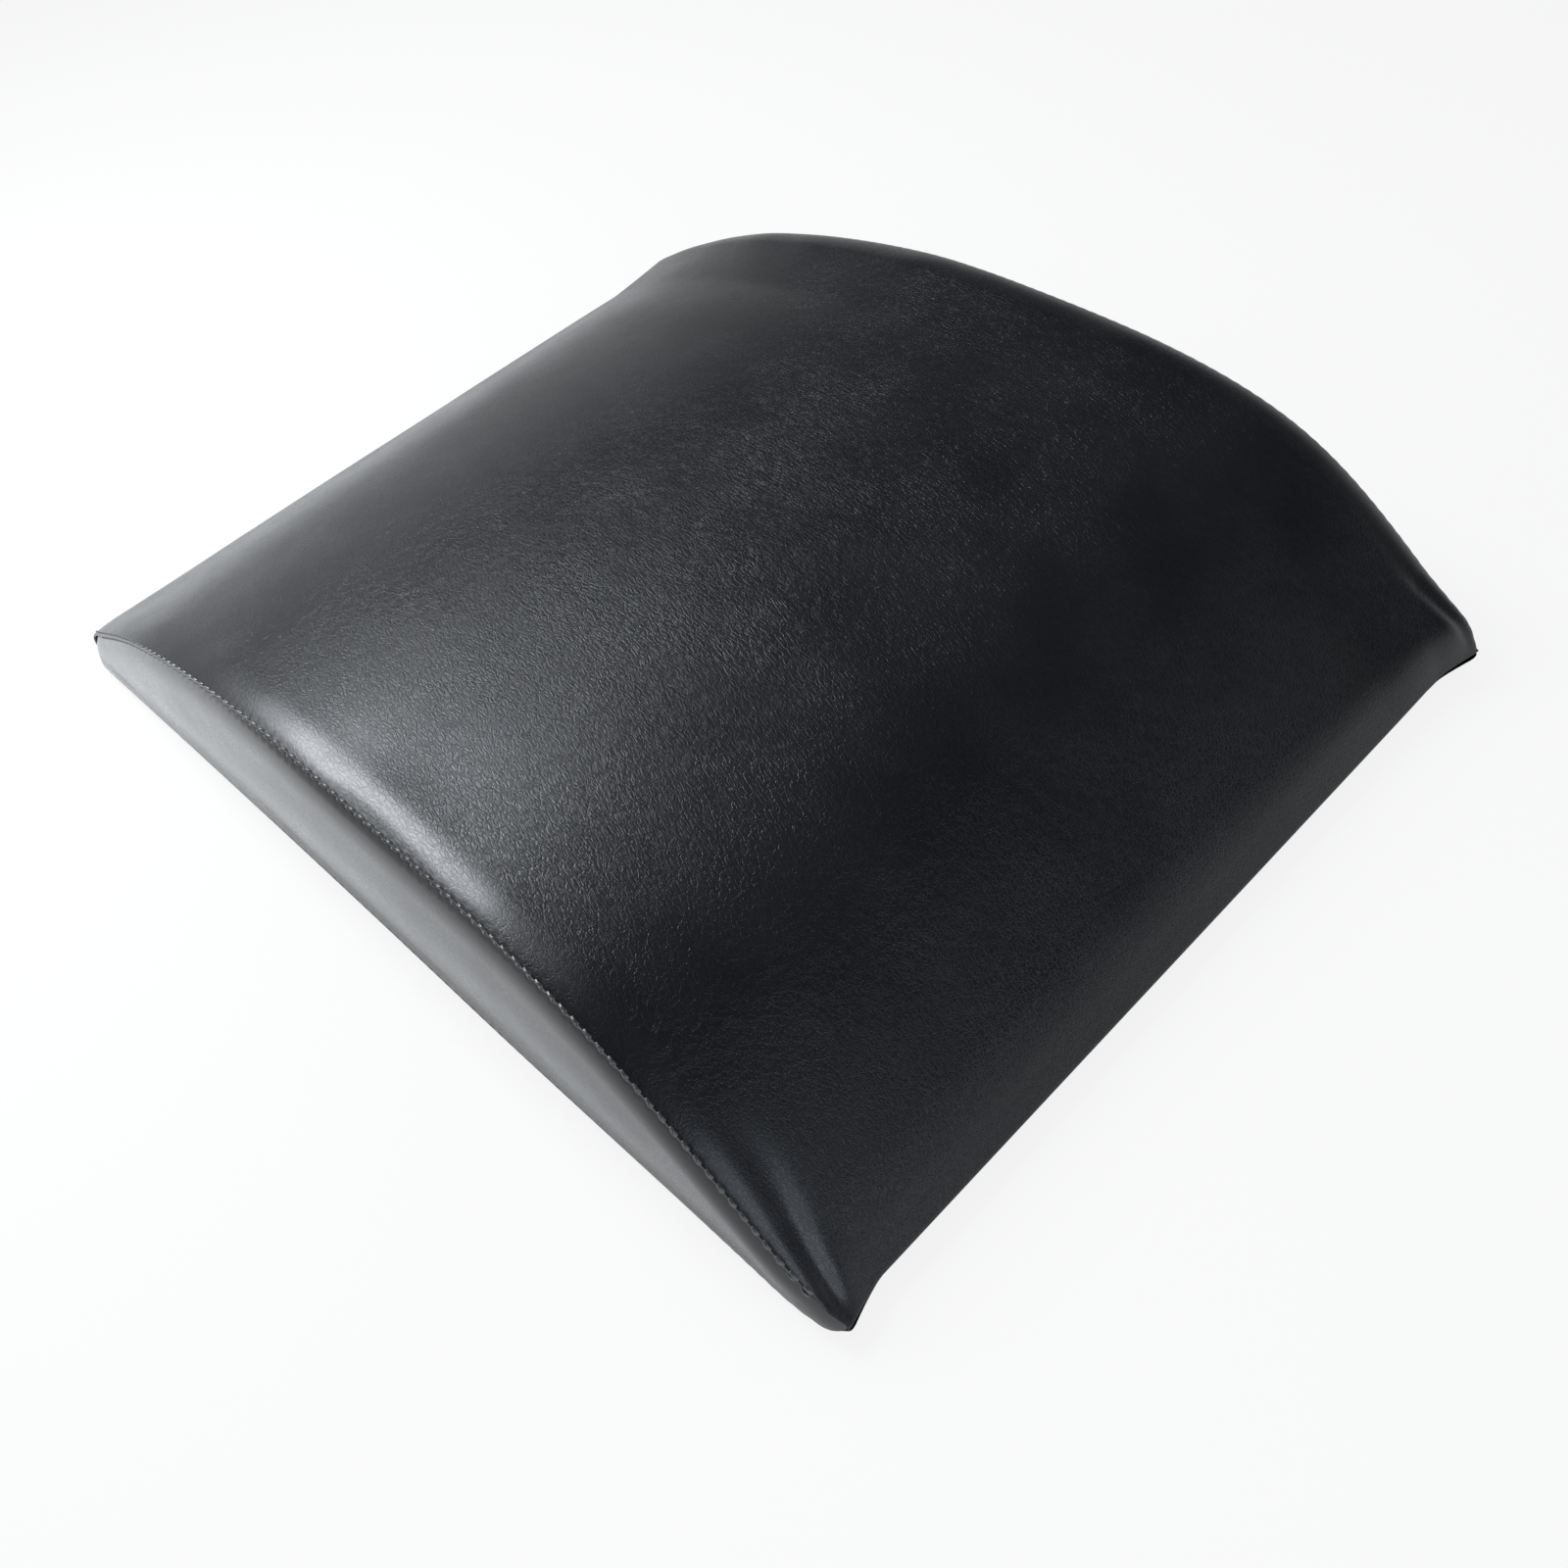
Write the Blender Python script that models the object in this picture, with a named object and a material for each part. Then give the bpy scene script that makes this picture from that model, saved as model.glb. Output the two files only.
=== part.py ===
# Sit-up mat: an arched foam wedge in a sewn leather-look cover with a zip in its underside.
# Metres. +X runs across the width, +Y from the thin front edge to the back end, +Z up.
# The mat lies on the floor at Z 0, centred on its own outline.

import bpy
import bmesh
import math
import numpy as np

# Whole mat, without the corner ears in its length
WIDTH = 0.300
LENGTH = 0.380
HEIGHT = 0.075

# Cover
COVER_THICKNESS = 0.0012
SEAM_GAP = 0.0004
FOAM_GAP = 0.0004
EDGE_ROLL_WIDTH = 0.014
EDGE_ROLL_RISE = 0.0040
CROWN_RISE = 0.0010
END_ROLL_LENGTH = 0.025
FLUSH_LENGTH = 0.003
NOSE_LENGTH = 0.009
SIDE_DRAW = 0.0015
FRONT_SEAM_HEIGHT = 0.0056
TOE_LENGTH = 0.014
EAR_REACH = 0.006
EAR_SIZE = 0.018
SIDE_END_HEIGHT = 0.0036
FOAM_END_HEIGHT = 0.0020

# Side seam, from the front edge over the crest and round the back end down to the floor:
# shares of the length, and shares of the seam's height at the crest
SEAM_SHARES = (
    (0.082, 0.475),
    (0.175, 0.800),
    (0.300, 0.965),
    (0.445, 1.000),
    (0.585, 0.975),
    (0.720, 0.845),
    (0.860, 0.600),
    (0.965, 0.310),
    (1.000, 0.135),
)
BACK_SEAM_INSET = 0.003

# Zip: place, opening and the dish in the underside that holds it clear of the floor
ZIP_INSET = 0.073
ZIP_OPENING = 0.0104
OPENING_RAMP = 0.004
DISH_DEPTH = 0.0047
DISH_FLAT = 0.013
DISH_SLOPE = 0.016
DISH_SIDE_MARGIN = 0.011
DISH_GAP = 0.0006
ZIP_GAP = 0.0003
RUN_GAP = 0.0004

# Zip tapes
TAPE_WIDTH = 0.0120
TAPE_THICKNESS = 0.0006
TAPE_EDGE = 0.0010
TAPE_TAIL = 0.005

# Zip coils
COIL_THICKNESS = 0.0016
COIL_OUTER = 0.0026
COIL_SPINE = 0.0011
TOOTH_OVERLAP = 0.00045
TOOTH_WIDTH = 0.00092
TOOTH_PITCH = 0.0025
TOOTH_CHAMFER = 0.0002

# Zip slider and its pull tab
SLIDER_LENGTH = 0.0115
SLIDER_FRONT_WIDTH = 0.0088
SLIDER_BACK_WIDTH = 0.0074
SLIDER_CORNER = 0.0016
PLATE_THICKNESS = 0.0008
DIVIDER_LENGTH = 0.0026
DIVIDER_WIDTH = 0.0014
DIVIDER_SETBACK = 0.0010
BRIDGE_LENGTH = 0.0070
BRIDGE_WIDTH = 0.0018
BRIDGE_THICKNESS = 0.0009
PULL_LENGTH = 0.026
PULL_WIDTH = 0.0070
PULL_NECK_WIDTH = 0.0050
PULL_THICKNESS = 0.0010
PULL_WINDOW_LENGTH = 0.0055
PULL_WINDOW_WIDTH = 0.0028
PULL_HOLE_WIDTH = 0.0026
PULL_HOLE_LENGTH = 0.0090
SOFT_EDGE = 0.0002

# Zip stops
STOP_LENGTH = 0.0024
STOP_THICKNESS = 0.0006
STOP_WEB = 0.0005

# Extra reach of cutting and joining shapes past the faces that they meet
OVERRUN = 0.0002

# Looks: colour, roughness and metallic value
LEATHER = ((0.016, 0.017, 0.019), 0.38, 0.0)
SIDE_LEATHER = ((0.020, 0.021, 0.022), 0.40, 0.0)
BASE_LEATHER = ((0.014, 0.015, 0.016), 0.50, 0.0)
FOAM = ((0.130, 0.130, 0.140), 0.95, 0.0)
CLOTH = ((0.012, 0.012, 0.013), 0.90, 0.0)
NYLON = ((0.020, 0.020, 0.022), 0.45, 0.0)
METAL = ((0.320, 0.320, 0.330), 0.30, 1.0)

# Degrees between faces past which a smooth piece keeps a sharp edge
SHARP_ANGLE = 40

# Mesh counts
PROFILE_ROWS = 32
ROLL_STEPS = 4
TOP_STEPS = 3
SIDE_ROWS = 3
TOE_STEPS = 4
DISH_STEPS = 7
ARC_STEPS = 8
CURVE_SAMPLES = 800
END_CROWDING_SHARE = 0.72

# Places that follow from the sizes
BACK_Y = (LENGTH + EAR_REACH) / 2
FRONT_Y = BACK_Y - LENGTH
SEAM_HEIGHT = HEIGHT - EDGE_ROLL_RISE - CROWN_RISE
FRONT_TOP = FRONT_SEAM_HEIGHT + SEAM_GAP / 2 + COVER_THICKNESS
FRONT_BOTTOM = FRONT_SEAM_HEIGHT - SEAM_GAP / 2 - COVER_THICKNESS
FLOOR_SEAM = COVER_THICKNESS + SEAM_GAP
BACK_SEAM_Y = BACK_Y - BACK_SEAM_INSET

ZIP_Y = BACK_Y - ZIP_INSET
ZIP_REACH = WIDTH / 2 - DISH_SIDE_MARGIN - DISH_SLOPE - DISH_FLAT
TAPE_BOTTOM = DISH_DEPTH + COVER_THICKNESS + ZIP_GAP
TAPE_TOP = TAPE_BOTTOM + TAPE_THICKNESS
COIL_TOP = TAPE_BOTTOM - ZIP_GAP
COIL_BOTTOM = COIL_TOP - COIL_THICKNESS
OUTER_PLATE_TOP = COIL_BOTTOM - ZIP_GAP
OUTER_PLATE_BOTTOM = OUTER_PLATE_TOP - PLATE_THICKNESS
INNER_PLATE_BOTTOM = TAPE_TOP + ZIP_GAP
INNER_PLATE_TOP = INNER_PLATE_BOTTOM + PLATE_THICKNESS
PULL_Z = OUTER_PLATE_BOTTOM - ZIP_GAP - PULL_THICKNESS / 2
BRIDGE_TOP = PULL_Z - PULL_THICKNESS / 2 - ZIP_GAP
SLIDER_FRONT_X = ZIP_REACH - STOP_LENGTH - RUN_GAP
SLIDER_X = SLIDER_FRONT_X - SLIDER_LENGTH / 2
DIVIDER_BACK_X = SLIDER_FRONT_X - DIVIDER_SETBACK - DIVIDER_LENGTH
COIL_START_X = -ZIP_REACH + STOP_LENGTH + RUN_GAP
COIL_END_X = DIVIDER_BACK_X - RUN_GAP


# Curves and surfaces of the cover

def spline(points, count):
    """Natural cubic spline through the points, as evenly spaced samples of its parameter."""
    points = np.array(points)
    knots = np.concatenate([[0], np.cumsum(np.linalg.norm(np.diff(points, axis=0), axis=1))])
    step = np.diff(knots)
    last = len(points) - 1
    matrix = np.eye(len(points))
    right = np.zeros_like(points)
    for i in range(1, last):
        matrix[i, i - 1:i + 2] = step[i - 1], 2 * (step[i - 1] + step[i]), step[i]
        rise_after = (points[i + 1] - points[i]) / step[i]
        rise_before = (points[i] - points[i - 1]) / step[i - 1]
        right[i] = 6 * (rise_after - rise_before)
    bend = np.linalg.solve(matrix, right)
    place = np.linspace(0, knots[-1], count)
    k = np.clip(np.searchsorted(knots, place, side="right") - 1, 0, last - 1)
    width = step[k][:, None]
    left = (knots[k + 1] - place)[:, None]
    after = (place - knots[k])[:, None]
    curved = (bend[k] * left ** 3 + bend[k + 1] * after ** 3) / (6 * width)
    from_left = (points[k] / width - bend[k] * width / 6) * left
    from_right = (points[k + 1] / width - bend[k + 1] * width / 6) * after
    return curved + from_left + from_right


def seam_rows():
    """Points (y, z), outward normals and running length along the side seam."""
    points = [(FRONT_Y, FRONT_TOP)]
    points += [(FRONT_Y + a * LENGTH, b * SEAM_HEIGHT) for a, b in SEAM_SHARES]
    points += [(BACK_SEAM_Y, FLOOR_SEAM)]
    fine = spline(points, CURVE_SAMPLES)
    length = np.concatenate([[0], np.cumsum(np.linalg.norm(np.diff(fine, axis=0), axis=1))])
    share = np.linspace(0, 1, PROFILE_ROWS + 1)
    turn = 2 * math.pi
    share = share - END_CROWDING_SHARE * np.sin(turn * share) / turn
    place = share * length[-1]
    rows = np.stack([np.interp(place, length, fine[:, k]) for k in (0, 1)], axis=1)
    slope = np.gradient(fine, length, axis=0)
    slope = np.stack([np.interp(place, length, slope[:, k]) for k in (0, 1)], axis=1)
    slope /= np.linalg.norm(slope, axis=1)[:, None]
    normals = np.stack([-slope[:, 1], slope[:, 0]], axis=1)
    return rows, normals, place


def half_width(y):
    """Half the width at the side seam: the sides draw in between the corners."""
    along = np.clip((y - FRONT_Y) / LENGTH, 0, 1)
    return WIDTH / 2 - SIDE_DRAW * np.sin(math.pi * along)


def ear_shift(x, y):
    """How far the pinched front corners push a point forward."""
    away = np.hypot(WIDTH / 2 - np.abs(x), y - FRONT_Y)
    return -EAR_REACH * np.clip(1 - away / EAR_SIZE, 0, 1) ** 2


def roll_columns():
    """Distance from the side, roll angle and side sign of each column of the top."""
    half = []
    for i in range(ROLL_STEPS + 1):
        angle = math.pi / 2 * i / ROLL_STEPS
        half.append((EDGE_ROLL_WIDTH * (1 - math.cos(angle)), angle))
    for i in range(1, TOP_STEPS + 1):
        part = i / TOP_STEPS
        half.append((EDGE_ROLL_WIDTH + (WIDTH / 2 - EDGE_ROLL_WIDTH) * part, math.pi / 2))
    left = [(distance, angle, -1) for distance, angle in half]
    right = [(distance, angle, 1) for distance, angle in reversed(half[:-1])]
    return left + right


def top_grid(inset, filling=False):
    """Grid of points on the top of the cover, moved inward by the inset.

    Side edges move inward and down alike, which mitres them against the side panels.
    The cover's front edge moves straight down, as its two layers lie there on each other.
    """
    rows, normals, place = seam_rows()
    columns = roll_columns()
    grid = np.zeros((len(rows), len(columns), 3))
    for i, (point, normal) in enumerate(zip(rows, normals)):
        to_end = max(0, min(place[i], place[-1] - place[i] - NOSE_LENGTH))
        swell = math.sin(math.pi / 2 * min(1, to_end / END_ROLL_LENGTH))
        lean = 1 if filling else min(1, place[i] / FLUSH_LENGTH)
        for j, (distance, angle, side) in enumerate(columns):
            across = side * (half_width(point[0]) - distance * half_width(point[0]) / (WIDTH / 2))
            crown = CROWN_RISE * (1 - (2 * across / WIDTH) ** 2)
            rise = swell * (EDGE_ROLL_RISE * math.sin(angle) + crown)
            flat = point + normal * rise
            outward = np.array([side * math.cos(angle) * EDGE_ROLL_RISE, 0, 0])
            outward[1:] = normal * math.sin(angle) * EDGE_ROLL_WIDTH
            outward /= np.linalg.norm(outward)
            if angle == 0:
                outward[1:] = normal
            outward = lean * outward + (1 - lean) * np.array([0, 0, 1])
            plain = np.array([across, flat[0], flat[1]])
            plain[1] += ear_shift(across, flat[0])
            grid[i, j] = plain - inset * outward
    return grid


def dish(x, y):
    """Height of the underside above the floor, where it is drawn up round the zip."""
    past_end = np.maximum(np.abs(x) - ZIP_REACH, 0)
    away = np.hypot(past_end, y - ZIP_Y)
    fade = np.clip((away - DISH_FLAT) / DISH_SLOPE, 0, 1)
    return DISH_DEPTH * (1 - fade * fade * (3 - 2 * fade))


def toe(y):
    """Height of the underside above the floor near the front seam."""
    near = np.clip(1 - (y - FRONT_Y) / TOE_LENGTH, 0, 1)
    return FRONT_BOTTOM * near ** 2


def floor_track(rows, low, high):
    """Evenly advancing y along the floor under the rows of the seam."""
    forward = np.maximum.accumulate(rows[:, 0]) - rows[0, 0]
    spread = forward + np.arange(len(rows)) * LENGTH / len(rows) ** 2
    return low + (high - low) * spread / spread[-1]


# Mesh helpers

def finish(name, look):
    """Material of one piece."""
    colour, roughness, metallic = look
    material = bpy.data.materials.new(name)
    material.use_nodes = True
    shader = material.node_tree.nodes["Principled BSDF"]
    shader.inputs["Base Color"].default_value = (*colour, 1.0)
    shader.inputs["Roughness"].default_value = roughness
    shader.inputs["Metallic"].default_value = metallic
    material.diffuse_color = (*colour, 1.0)
    return material


def make_object(name, bm, look, smooth=True):
    """Close off a bmesh as an object with outward faces and a material of its own."""
    bmesh.ops.recalc_face_normals(bm, faces=bm.faces)
    mesh = bpy.data.meshes.new(name)
    bm.to_mesh(mesh)
    bm.free()
    if smooth:
        mesh.shade_smooth()
        mesh.set_sharp_from_angle(angle=math.radians(SHARP_ANGLE))
    mesh.materials.append(finish(name, look))
    part = bpy.data.objects.new(name, mesh)
    bpy.context.scene.collection.objects.link(part)
    return part


def sheet_solid(name, outer, inner, look):
    """Closed body between two grids of points that have the same rows and columns."""
    rows, columns = outer.shape[:2]
    bm = bmesh.new()
    skin = [[bm.verts.new(outer[i, j]) for j in range(columns)] for i in range(rows)]
    lining = [[bm.verts.new(inner[i, j]) for j in range(columns)] for i in range(rows)]
    for i in range(rows - 1):
        for j in range(columns - 1):
            for grid in (skin, lining):
                bm.faces.new((grid[i][j], grid[i + 1][j], grid[i + 1][j + 1], grid[i][j + 1]))
    rim = [(i, 0) for i in range(rows)]
    rim += [(rows - 1, j) for j in range(1, columns)]
    rim += [(i, columns - 1) for i in range(rows - 2, -1, -1)]
    rim += [(0, j) for j in range(columns - 2, 0, -1)]
    for (a, b), (c, d) in zip(rim, rim[1:] + rim[:1]):
        bm.faces.new((skin[a][b], skin[c][d], lining[c][d], lining[a][b]))
    return make_object(name, bm, look)


def prism(name, outline, direction, low, high, look):
    """Outline extruded along an axis, 0 for X, 1 for Y or 2 for Z."""
    bm = bmesh.new()
    corners = []
    for a, b in outline:
        point = [a, b]
        point.insert(direction, low)
        corners.append(bm.verts.new(point))
    face = bm.faces.new(corners)
    pushed = bmesh.ops.extrude_face_region(bm, geom=[face])["geom"]
    moved = [item for item in pushed if isinstance(item, bmesh.types.BMVert)]
    push = [0, 0, 0]
    push[direction] = high - low
    bmesh.ops.translate(bm, verts=moved, vec=push)
    return make_object(name, bm, look, smooth=False)


def soften(part, width):
    """Round the edges of a small piece by a narrow bevel."""
    bevel = part.modifiers.new("soft edge", "BEVEL")
    bevel.width = width
    bevel.segments = 1
    bevel.limit_method = "ANGLE"


def combine(part, tool, operation):
    """Join a tool to a part or cut it out of it, and keep the tool as a hidden guide."""
    change = part.modifiers.new(tool.name, "BOOLEAN")
    change.object = tool
    change.operation = operation
    tool.hide_render = True
    tool.display_type = "WIRE"


def capsule(reach, radius):
    """Outline of a slot with round ends, along X."""
    outline = []
    for end in (1, -1):
        for i in range(ARC_STEPS + 1):
            angle = math.pi * (i / ARC_STEPS - 1 / 2) + (0 if end > 0 else math.pi)
            outline.append((end * reach + radius * math.cos(angle), radius * math.sin(angle)))
    return outline


# Sub-parts of the cover and its filling

def top_panel():
    """Top of the cover, from the front seam over the crest and round the back end."""
    return sheet_solid("top_panel", top_grid(0), top_grid(COVER_THICKNESS), LEATHER)


def side_panel(name, side):
    """One side of the cover, between the side seam and the underside."""
    rows, normals, _ = seam_rows()
    upper = rows - normals * SEAM_GAP
    lower_y = floor_track(rows, FRONT_Y, BACK_SEAM_Y - COVER_THICKNESS - SEAM_GAP)
    lower_z = toe(lower_y) + COVER_THICKNESS + SEAM_GAP
    tall = upper[:, 1] - lower_z > SIDE_END_HEIGHT
    upper, lower_y, lower_z = upper[tall], lower_y[tall], lower_z[tall]
    lower = np.stack([lower_y, lower_z], axis=1)
    outer = np.zeros((len(upper), SIDE_ROWS + 1, 3))
    for j in range(SIDE_ROWS + 1):
        part = j / SIDE_ROWS
        place = lower + (upper - lower) * part
        drawn = half_width(place[:, 0])
        swell = (WIDTH / 2 - drawn) * math.sin(math.pi * part)
        outer[:, j, 0] = side * (drawn + swell)
        outer[:, j, 1] = place[:, 0] + ear_shift(drawn, place[:, 0])
        outer[:, j, 2] = place[:, 1]
    inner = outer - np.array([side * COVER_THICKNESS, 0, 0])
    mitre = np.linspace(0, COVER_THICKNESS, SIDE_ROWS + 1)
    inner[:, :, 1:] -= normals[tall][:, None] * mitre[None, :, None]
    return sheet_solid(name, outer, inner, SIDE_LEATHER)


def underside_columns():
    """Places across the underside: wide steps along the zip, close ones at its ends."""
    zone = DISH_FLAT + DISH_SLOPE
    half = [0, ZIP_REACH / 2, ZIP_REACH - OPENING_RAMP, ZIP_REACH, ZIP_REACH + OPENING_RAMP]
    steps = DISH_STEPS - 1
    start = ZIP_REACH + OPENING_RAMP
    half += [start + (zone - OPENING_RAMP) * i / steps for i in range(1, steps + 1)]
    for i in (2, 1, 0):
        half.append(WIDTH / 2 - EDGE_ROLL_WIDTH * (1 - math.cos(math.pi / 2 * i / ROLL_STEPS)))
    return [-x for x in reversed(half[1:])] + half


def zip_edge(x):
    """Distance of a panel's edge from the zip's centre line: wide over the zip, shut past it."""
    shut = np.clip((abs(x) - ZIP_REACH) / OPENING_RAMP, 0, 1)
    return ZIP_OPENING / 2 + (SEAM_GAP / 2 - ZIP_OPENING / 2) * shut


def bottom_panel(name, rows_for):
    """One half of the underside, on rows that a function gives for each column."""
    columns = underside_columns()
    outer = []
    for x in columns:
        drawn = 1 if abs(x) > ZIP_REACH + DISH_FLAT + DISH_SLOPE else 0
        line = []
        for y in rows_for(x):
            draw = drawn * (WIDTH / 2 - half_width(y))
            across = x - math.copysign(draw, x)
            line.append((across, y + ear_shift(x, y), float(toe(y) + dish(x, y))))
        outer.append(line)
    outer = np.array(outer)
    inner = outer + np.array([0, 0, COVER_THICKNESS])
    return sheet_solid(name, outer, inner, BASE_LEATHER)


def front_rows(x):
    """Rows of the front half of the underside, from the front seam to the zip."""
    zone = DISH_FLAT + DISH_SLOPE
    rows = [FRONT_Y + TOE_LENGTH * i / TOE_STEPS for i in range(TOE_STEPS + 1)]
    low, high = ZIP_Y - zone, ZIP_Y - zip_edge(x)
    return rows + [low + (high - low) * i / DISH_STEPS for i in range(DISH_STEPS + 1)]


def back_rows(x):
    """Rows of the back half of the underside, from the zip to the back seam."""
    zone = DISH_FLAT + DISH_SLOPE
    low, high = ZIP_Y + zip_edge(x), ZIP_Y + zone
    rows = [low + (high - low) * i / DISH_STEPS for i in range(DISH_STEPS + 1)]
    return rows + [BACK_SEAM_Y]


def zip_groove():
    """Hidden cutter for the hollow in the foam that the zip and its dish need."""
    rings = [(DISH_FLAT + DISH_SLOPE + DISH_GAP, -OVERRUN)]
    for i in range(DISH_STEPS, -1, -1):
        radius = DISH_FLAT + DISH_SLOPE * i / DISH_STEPS
        height = dish(0, ZIP_Y + radius) + COVER_THICKNESS + DISH_GAP
        rings.append((radius + DISH_GAP, float(height)))
    rings.append((DISH_FLAT + DISH_GAP, INNER_PLATE_TOP + ZIP_GAP))
    bm = bmesh.new()
    loops = []
    for radius, height in rings:
        outline = capsule(ZIP_REACH, radius)
        loops.append([bm.verts.new((x, ZIP_Y + y, height)) for x, y in outline])
    for below, above in zip(loops, loops[1:]):
        for i in range(len(below)):
            k = (i + 1) % len(below)
            bm.faces.new((below[i], below[k], above[k], above[i]))
    bm.faces.new(loops[0])
    bm.faces.new(loops[-1])
    return make_object("zip_groove_cutter", bm, FOAM)


def foam_core():
    """Arched foam block that fills the cover, with a groove under it for the zip."""
    rows, _, _ = seam_rows()
    top = top_grid(COVER_THICKNESS + FOAM_GAP, filling=True)
    low_y = floor_track(rows, FRONT_Y, BACK_SEAM_Y - COVER_THICKNESS - FOAM_GAP)
    low_z = toe(low_y) + COVER_THICKNESS + FOAM_GAP
    tall = top[:, 0, 2] - low_z > FOAM_END_HEIGHT
    top, low_y, low_z = top[tall], low_y[tall], low_z[tall]
    base = top.copy()
    base[:, :, 1] = low_y[:, None]
    base[:, :, 2] = low_z[:, None]
    core = sheet_solid("foam_core", top, base, FOAM)
    combine(core, zip_groove(), "DIFFERENCE")
    return core


# Sub-parts of the zip

def zip_tape(name, side):
    """Woven tape of one half of the zip, lying on the inner face of its panel."""
    reach = ZIP_REACH + TAPE_TAIL
    near, far = side * TAPE_EDGE, side * TAPE_WIDTH
    outline = [(-reach, ZIP_Y + near), (reach, ZIP_Y + near)]
    outline += [(reach, ZIP_Y + far), (-reach, ZIP_Y + far)]
    return prism(name, outline, 2, TAPE_BOTTOM, TAPE_TOP, CLOTH)


def zip_coil(name, side, shift):
    """Coil of one half of the zip: a spine with teeth that reach past the centre line."""
    outer = ZIP_Y + side * COIL_OUTER
    root = ZIP_Y + side * (COIL_OUTER - COIL_SPINE)
    tip = ZIP_Y - side * TOOTH_OVERLAP
    neck = tip + side * TOOTH_CHAMFER
    half = TOOTH_WIDTH / 2
    outline = [(COIL_START_X, outer), (COIL_START_X, root)]
    first = COIL_START_X + TOOTH_WIDTH + shift
    count = int((COIL_END_X - TOOTH_WIDTH - first) / TOOTH_PITCH) + 1
    for k in range(count):
        x = first + k * TOOTH_PITCH
        outline += [(x - half, root), (x - half, neck), (x - half + TOOTH_CHAMFER, tip)]
        outline += [(x + half - TOOTH_CHAMFER, tip), (x + half, neck), (x + half, root)]
    outline += [(COIL_END_X, root), (COIL_END_X, outer)]
    return prism(name, outline, 2, COIL_BOTTOM, COIL_TOP, NYLON)


def slider_outline(grow):
    """Tapered plate of the slider, wider at its front where the coils come in."""
    front, back = SLIDER_LENGTH / 2 + grow, -SLIDER_LENGTH / 2 - grow
    wide, narrow = SLIDER_FRONT_WIDTH / 2 + grow, SLIDER_BACK_WIDTH / 2 + grow
    half = [(front, wide - SLIDER_CORNER), (front - SLIDER_CORNER, wide)]
    half += [(back + SLIDER_CORNER, narrow), (back, narrow - SLIDER_CORNER)]
    return half + [(x, -y) for x, y in reversed(half)]


def zip_slider():
    """Slider with its two plates, the divider that parts the coils, and the tab's bridge."""
    body = prism("zip_slider", slider_outline(0), 2, OUTER_PLATE_BOTTOM, COIL_TOP, METAL)
    channel_half = COIL_OUTER + ZIP_GAP
    length = SLIDER_LENGTH / 2 + OVERRUN
    outline = [(-length, -channel_half), (length, -channel_half)]
    outline += [(length, channel_half), (-length, channel_half)]
    channel = prism("slider_channel_cutter", outline, 2, OUTER_PLATE_TOP, COIL_TOP + OVERRUN, METAL)
    plate = prism("slider_inner_plate_tool", slider_outline(0), 2,
                  INNER_PLATE_BOTTOM, INNER_PLATE_TOP, METAL)
    soften(plate, SOFT_EDGE)
    front = SLIDER_LENGTH / 2 - DIVIDER_SETBACK
    back = front - DIVIDER_LENGTH
    half = DIVIDER_WIDTH / 2
    outline = [(back, 0), (back + half, -half), (front, -half), (front, half), (back + half, half)]
    divider = prism("slider_divider_tool", outline, 2,
                    OUTER_PLATE_TOP - OVERRUN, INNER_PLATE_BOTTOM + OVERRUN, METAL)
    reach, rise = BRIDGE_LENGTH / 2, BRIDGE_THICKNESS
    low = BRIDGE_TOP - BRIDGE_THICKNESS
    high = OUTER_PLATE_BOTTOM + OVERRUN
    outline = [(-reach, high), (-reach, low + rise / 2), (-reach + rise / 2, low)]
    outline += [(reach - rise / 2, low), (reach, low + rise / 2), (reach, high)]
    outline += [(reach - rise, high), (reach - rise, BRIDGE_TOP)]
    outline += [(-reach + rise, BRIDGE_TOP), (-reach + rise, high)]
    bridge = prism("slider_bridge_tool", outline, 1, -BRIDGE_WIDTH / 2, BRIDGE_WIDTH / 2, METAL)
    combine(body, channel, "DIFFERENCE")
    combine(body, divider, "UNION")
    combine(body, plate, "UNION")
    combine(body, bridge, "UNION")
    for piece in (body, channel, plate, divider, bridge):
        piece.location = (SLIDER_X, ZIP_Y, 0)
    return body


def zip_pull_tab():
    """Pull tab whose crossbar lies between the slider's plate and its bridge."""
    bar = PULL_THICKNESS / 2
    neck, wide = PULL_NECK_WIDTH / 2, PULL_WIDTH / 2
    shoulder = -bar - PULL_WINDOW_LENGTH - PULL_THICKNESS
    end = -PULL_LENGTH + wide
    outline = [(bar, neck), (shoulder, neck), (end, wide)]
    for i in range(1, ARC_STEPS):
        angle = math.pi * (1 / 2 + i / ARC_STEPS)
        outline.append((end + wide * math.cos(angle), wide * math.sin(angle)))
    outline += [(end, -wide), (shoulder, -neck), (bar, -neck)]
    tab = prism("zip_pull_tab", outline, 2, -bar, bar, METAL)
    far, side = -bar - PULL_WINDOW_LENGTH, PULL_WINDOW_WIDTH / 2
    cut = bar + OVERRUN
    outline = [(-bar, side), (far, side), (far, -side), (-bar, -side)]
    window = prism("pull_window_cutter", outline, 2, -cut, cut, METAL)
    reach = (PULL_HOLE_LENGTH - PULL_HOLE_WIDTH) / 2
    middle = (shoulder + end) / 2
    outline = [(middle + x, y) for x, y in capsule(reach, PULL_HOLE_WIDTH / 2)]
    hole = prism("pull_hole_cutter", outline, 2, -cut, cut, METAL)
    soften(tab, SOFT_EDGE)
    combine(tab, window, "DIFFERENCE")
    combine(tab, hole, "DIFFERENCE")
    for piece in (tab, window, hole):
        piece.location = (SLIDER_X, ZIP_Y, PULL_Z)
    return tab


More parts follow.
